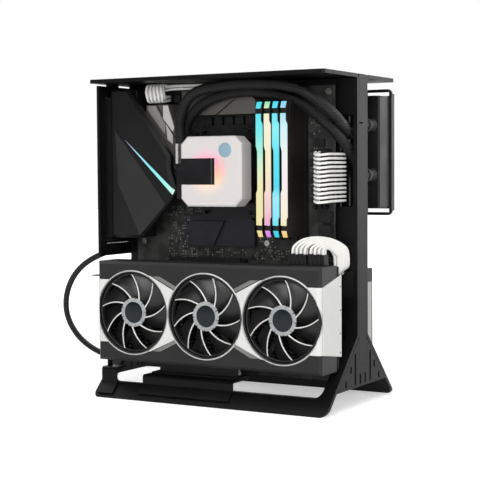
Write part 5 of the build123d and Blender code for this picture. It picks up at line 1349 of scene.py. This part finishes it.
    def hub_collar(self) -> Shape:
        """The bright ring on the hub: a turned profile whose outside is cut by one narrow notch for each blade.

        A notch is the cosine of the blades' angle, raised to a high power.

        Returns:
            The ring, about the origin.
        """
        wave = np.linspace(0, 2 * np.pi, 360, endpoint=False)
        outside = self.collar_r - self.notch * np.maximum(np.cos(self.blades * wave), 0) ** self.notch_sharp
        (tight, wide), (back, rim, front) = self.collar_inside_r, self.collar_y
        profile = ((outside, back), (outside, rim), (outside - self.collar_bevel, front), (0 * wave + wide, front),
                   (0 * wave + tight, rim), (0 * wave + tight, back))
        return loft(np.stack([np.stack([r * np.cos(wave), 0 * wave + y, r * np.sin(wave)], -1) for r, y in profile]),
                    closed=True)

    def fans(self) -> None:
        """Three rotors with a black ring and hub, pale strips on the blades' leading edges as painted highlights, a
        notched bright hub ring and a plain cap.
        """
        zero = (0.0, 0.0, 0.0)
        vane, edge = self.blade()
        spins = [360.0 / self.blades * k for k in range(self.blades)]
        black = joined([turned(Axis.Y, zero, self.hub, sides=48), turned(Axis.Y, zero, self.rim, sides=72, closed=True),
                        *[vane.turned_y(a) for a in spins]])
        edge_highlights = joined([edge.turned_y(a) for a in spins])
        collar, cap = self.hub_collar(), turned(Axis.Y, zero, self.cap, sides=48)
        for number, (x, phase) in enumerate(zip(self.fans_x, self.phases), 1):
            body, place = f"card_fan_{number}", (x, 0.0, self.fan_z)
            make_piece(f"card_rotor_{number}", black.turned_y(phase).moved(place), Paint.FAN,
                       body, [f"card_fan_rotor_{number}"])
            make_piece(f"card_rotor_edge_highlights_{number}", edge_highlights.turned_y(phase).moved(place), Paint.CARD_SILVER,
                       body)
            make_piece(f"card_rotor_collar_{number}", collar.turned_y(phase + self.notch_turn_deg).moved(place),
                       Paint.HUB_RING, body)
            make_piece(f"card_rotor_cap_{number}", cap.moved(place), Paint.HUB_GLASS, body)

    def build(self) -> None:
        """Builds the card's visible pieces and dresses the rest."""
        self.panel()
        self.stripes()
        self.fans()
        dress(Paint.CARD_BLACK, "card_shroud", "card_backplate")
        dress(Paint.FIN_STOCK, "card_heatsink")


@dataclass
class PortCover:
    """The cover over the ports: slanted facets on its front, a bevel painted lighter as painted light, and the lit
    strip.
    """

    base_y: float = -62.0
    skin: float = 0.3
    # X and Z of each corner, and how far it stands out from the cover's plane.
    corners: Points = ((-127.3, 330.0, 0.1), (-109.0, 330.0, 0.1), (-57.6, 259.0, 0.1), (-57.6, 245.0, 0.1),
                       (-50.6, 225.0, 0.1), (-114.8, 281.0, 0.1), (-53.4, 216.6, 0.1), (-58.4, 208.6, 2.2),
                       (-123.6, 288.0, 0.3), (-92.6, 175.0, 0.1), (-119.8, 229.0, 0.2), (-127.3, 175.0, 0.1),
                       (-127.3, 292.0, 0.1))
    facets: tuple = ((0, 1, 2, 3, 4, 5, 8, 12), (12, 8, 10), (12, 10, 11), (10, 9, 11), (5, 6, 7, 8))
    # The bevel facets take the lighter copy of the moulding: painted light.
    bevels: tuple = ((8, 7, 9, 10),)
    strip_x: tuple[float, float] = (-115.0, -49.0)
    strip_run: Run = ((0.0, "#b9b4ee"), (0.2, "#b4d6f4"), (0.5, "#7fe9f3"), (0.85, "#9ff3ee"), (1.0, "#cff8e6"))

    def build(self) -> None:
        """Makes the facets: each corner stands out from the cover's plane by its own height."""
        spots = np.array(self.corners)
        points = np.stack([spots[:, 0], self.base_y - spots[:, 2], spots[:, 1]], -1)
        for name, finish, facets in (("port_cover_facets", Paint.SHROUD, self.facets),
                                     ("port_cover_painted_lit_bevels", Paint.SHROUD_PAINTED_LIT, self.bevels)):
            used, again = np.unique(np.concatenate(facets), return_inverse=True)
            ends = np.cumsum([len(f) for f in facets])[:-1]
            shape = Shape(points[used], np.zeros((0, 4), int), np.zeros((0, 4, 2)),
                          [f[::-1] for f in np.split(again, ends)])
            piece = make_piece(name, shape, finish, sharp_deg=1.0)
            piece.data.shade_flat()
            solid = piece.modifiers.new("thickness", "SOLIDIFY")
            solid.thickness, solid.offset = self.skin * MM, -1.0
        dress(Paint.SHROUD, "port_shroud")
        dress(Glow("lit_cover_strip", self.strip_run, Axis.X, *self.strip_x), "light_strip")


@dataclass
class BoardDetails:
    """Small soldered parts on the board's bare places, and faces on the regulator's heatsink painted lighter as painted
    light.
    """

    face_y: float = -17.85
    sunk: float = 0.02
    seed: int = 11
    cell: float = 2.9
    # How far the first cells stand in from a place's left, right, low and high edge.
    margin: tuple[float, float, float, float] = (1.3, 1.0, 1.2, 1.0)
    # Each bare place: its X and Z range, and how many parts it holds.
    zones: Points = ((-58, 50, 198.5, 212, 110), (91, 103, 216, 322, 90), (-84, -54, 160, 206, 90),
                     (30, 52, 150, 212, 80), (-84, 90, 149, 160.5, 150), (92, 118, 149, 172, 50),
                     (-36, 40, 284, 290, 30), (40, 52, 214, 322, 60))
    # Each kind: its name, finish, length, width, height and share of all the parts.
    kinds: tuple = (("chip_capacitors", Paint.CERAMIC, 1.8, 1.0, 0.9, 0.3),
                    ("chip_resistors", Paint.EPOXY, 2.0, 1.2, 0.6, 0.28),
                    ("tinned_pads", Paint.TIN, 1.5, 1.2, 0.25, 0.24),
                    ("small_chips", Paint.EPOXY, 2.7, 2.5, 1.3, 0.18))
    # Thin plates over the heatsink's faces, which carry their painted light.
    sink_y: tuple[float, float] = (-45.6, -44.9)
    sink_outlines: tuple[Points, ...] = (
        ((-92, 309.5), (-92, 314), (-82, 314), (-69.5, 293), (-70.5, 283.5)),
        ((-72.3, 300), (-72.3, 314), (-66.5, 314), (-58.4, 290), (-60.4, 286)),
        ((-68.5, 293.5), (-60.4, 282.5), (-60.4, 272.8), (-67, 277.5)))

    def small_parts(self) -> None:
        """Scatters chips over grid cells of each zone, each cell used once, in four kinds."""
        dice = np.random.default_rng(self.seed)
        spots = []
        for x0, x1, z0, z1, count in self.zones:
            left, right, low, high = self.margin
            gx, gz = np.meshgrid(np.arange(x0 + left, x1 - right, self.cell),
                                 np.arange(z0 + low, z1 - high, self.cell))
            cells = np.stack([gx.ravel(), gz.ravel()], -1)
            spots.append(cells[dice.permutation(len(cells))[:count]])
        spots = np.concatenate(spots)
        kind = dice.choice(len(self.kinds), len(spots), p=[share for *_, share in self.kinds])
        upright = dice.random(len(spots)) < 0.5
        for number, (name, finish, long, wide, tall, _) in enumerate(self.kinds):
            here = spots[kind == number]
            stand = upright[kind == number][:, None]
            sizes = np.where(stand, [wide, tall, long], [long, tall, wide])
            deep = np.full(len(here), self.face_y - tall / 2 + self.sunk)
            make_piece(name, boxes(np.column_stack([here[:, 0], deep, here[:, 1]]), sizes), finish)

    def sink_faces(self) -> None:
        """Bevelled faces on the left heatsink, cut along its groove, painted lighter for the light that they catch."""
        left, *right = [prism(flat, (0, self.sink_y[0], 0), (0, self.sink_y[1], 0)) for flat in self.sink_outlines]
        make_piece("sink_face_left_painted_lit", left, Paint.ANODISED_PAINTED_HALF_LIT)
        make_piece("sink_faces_right_painted_lit", joined(right), Paint.ANODISED_PAINTED_LIT)

    def build(self) -> None:
        """Builds the details and dresses the board."""
        self.small_parts()
        self.sink_faces()
        dress(Paint.LAMINATE, "circuit_board", "card_board")
        dress(Paint.NYLON, "memory_slots", "card_slots", "soldered_parts", "riser_cable")
        dress(Paint.ANODISED, "regulator_heatsinks")
        dress(Paint.DARK_ANODISED, "chipset_cover")
        dress(Paint.NICKEL, "processor")


@dataclass
class BenchFrame:
    """The black sheet frame and the supply."""

    label_x: tuple[float, float] = (116.9, 117.15)
    label: Points = ((20.0, 43.0), (77.0, 43.0), (77.0, 122.0), (20.0, 122.0))

    def build(self) -> None:
        """Dresses the frame, and puts a plain label on the supply's right side."""
        dress(Paint.BLACK_SHEET, "front_sheet", "rear_sheet", "spine_strips", "end_plates", "side_plate",
              "slot_bracket", "riser_bracket", "card_holder")
        dress(Paint.ZINC, "board_screws")
        dress(Paint.LATCH, "riser_latch")
        dress(Paint.SUPPLY, "supply_case")
        dress(Paint.NYLON, "supply_inlet", "supply_switch")
        label = prism(self.label, (self.label_x[0], 0, 0), (self.label_x[1], 0, 0), (Axis.Y, Axis.Z))
        make_piece("supply_label", label, Paint.LABEL)


def main() -> None:
    """Builds the studio and each sub-assembly in order."""
    logging.basicConfig(level=logging.INFO, format="%(name)s: %(message)s")
    Studio().build()
    for assembly in (BenchFrame(), BoardDetails(), PortCover(), MemoryBank(), CoolingLoop(), GraphicsCard(),
                     SleevedCables(), MainsLead()):
        assembly.build()
        log.info("built %s", type(assembly).__name__)


if __name__ == "__main__":
    main()
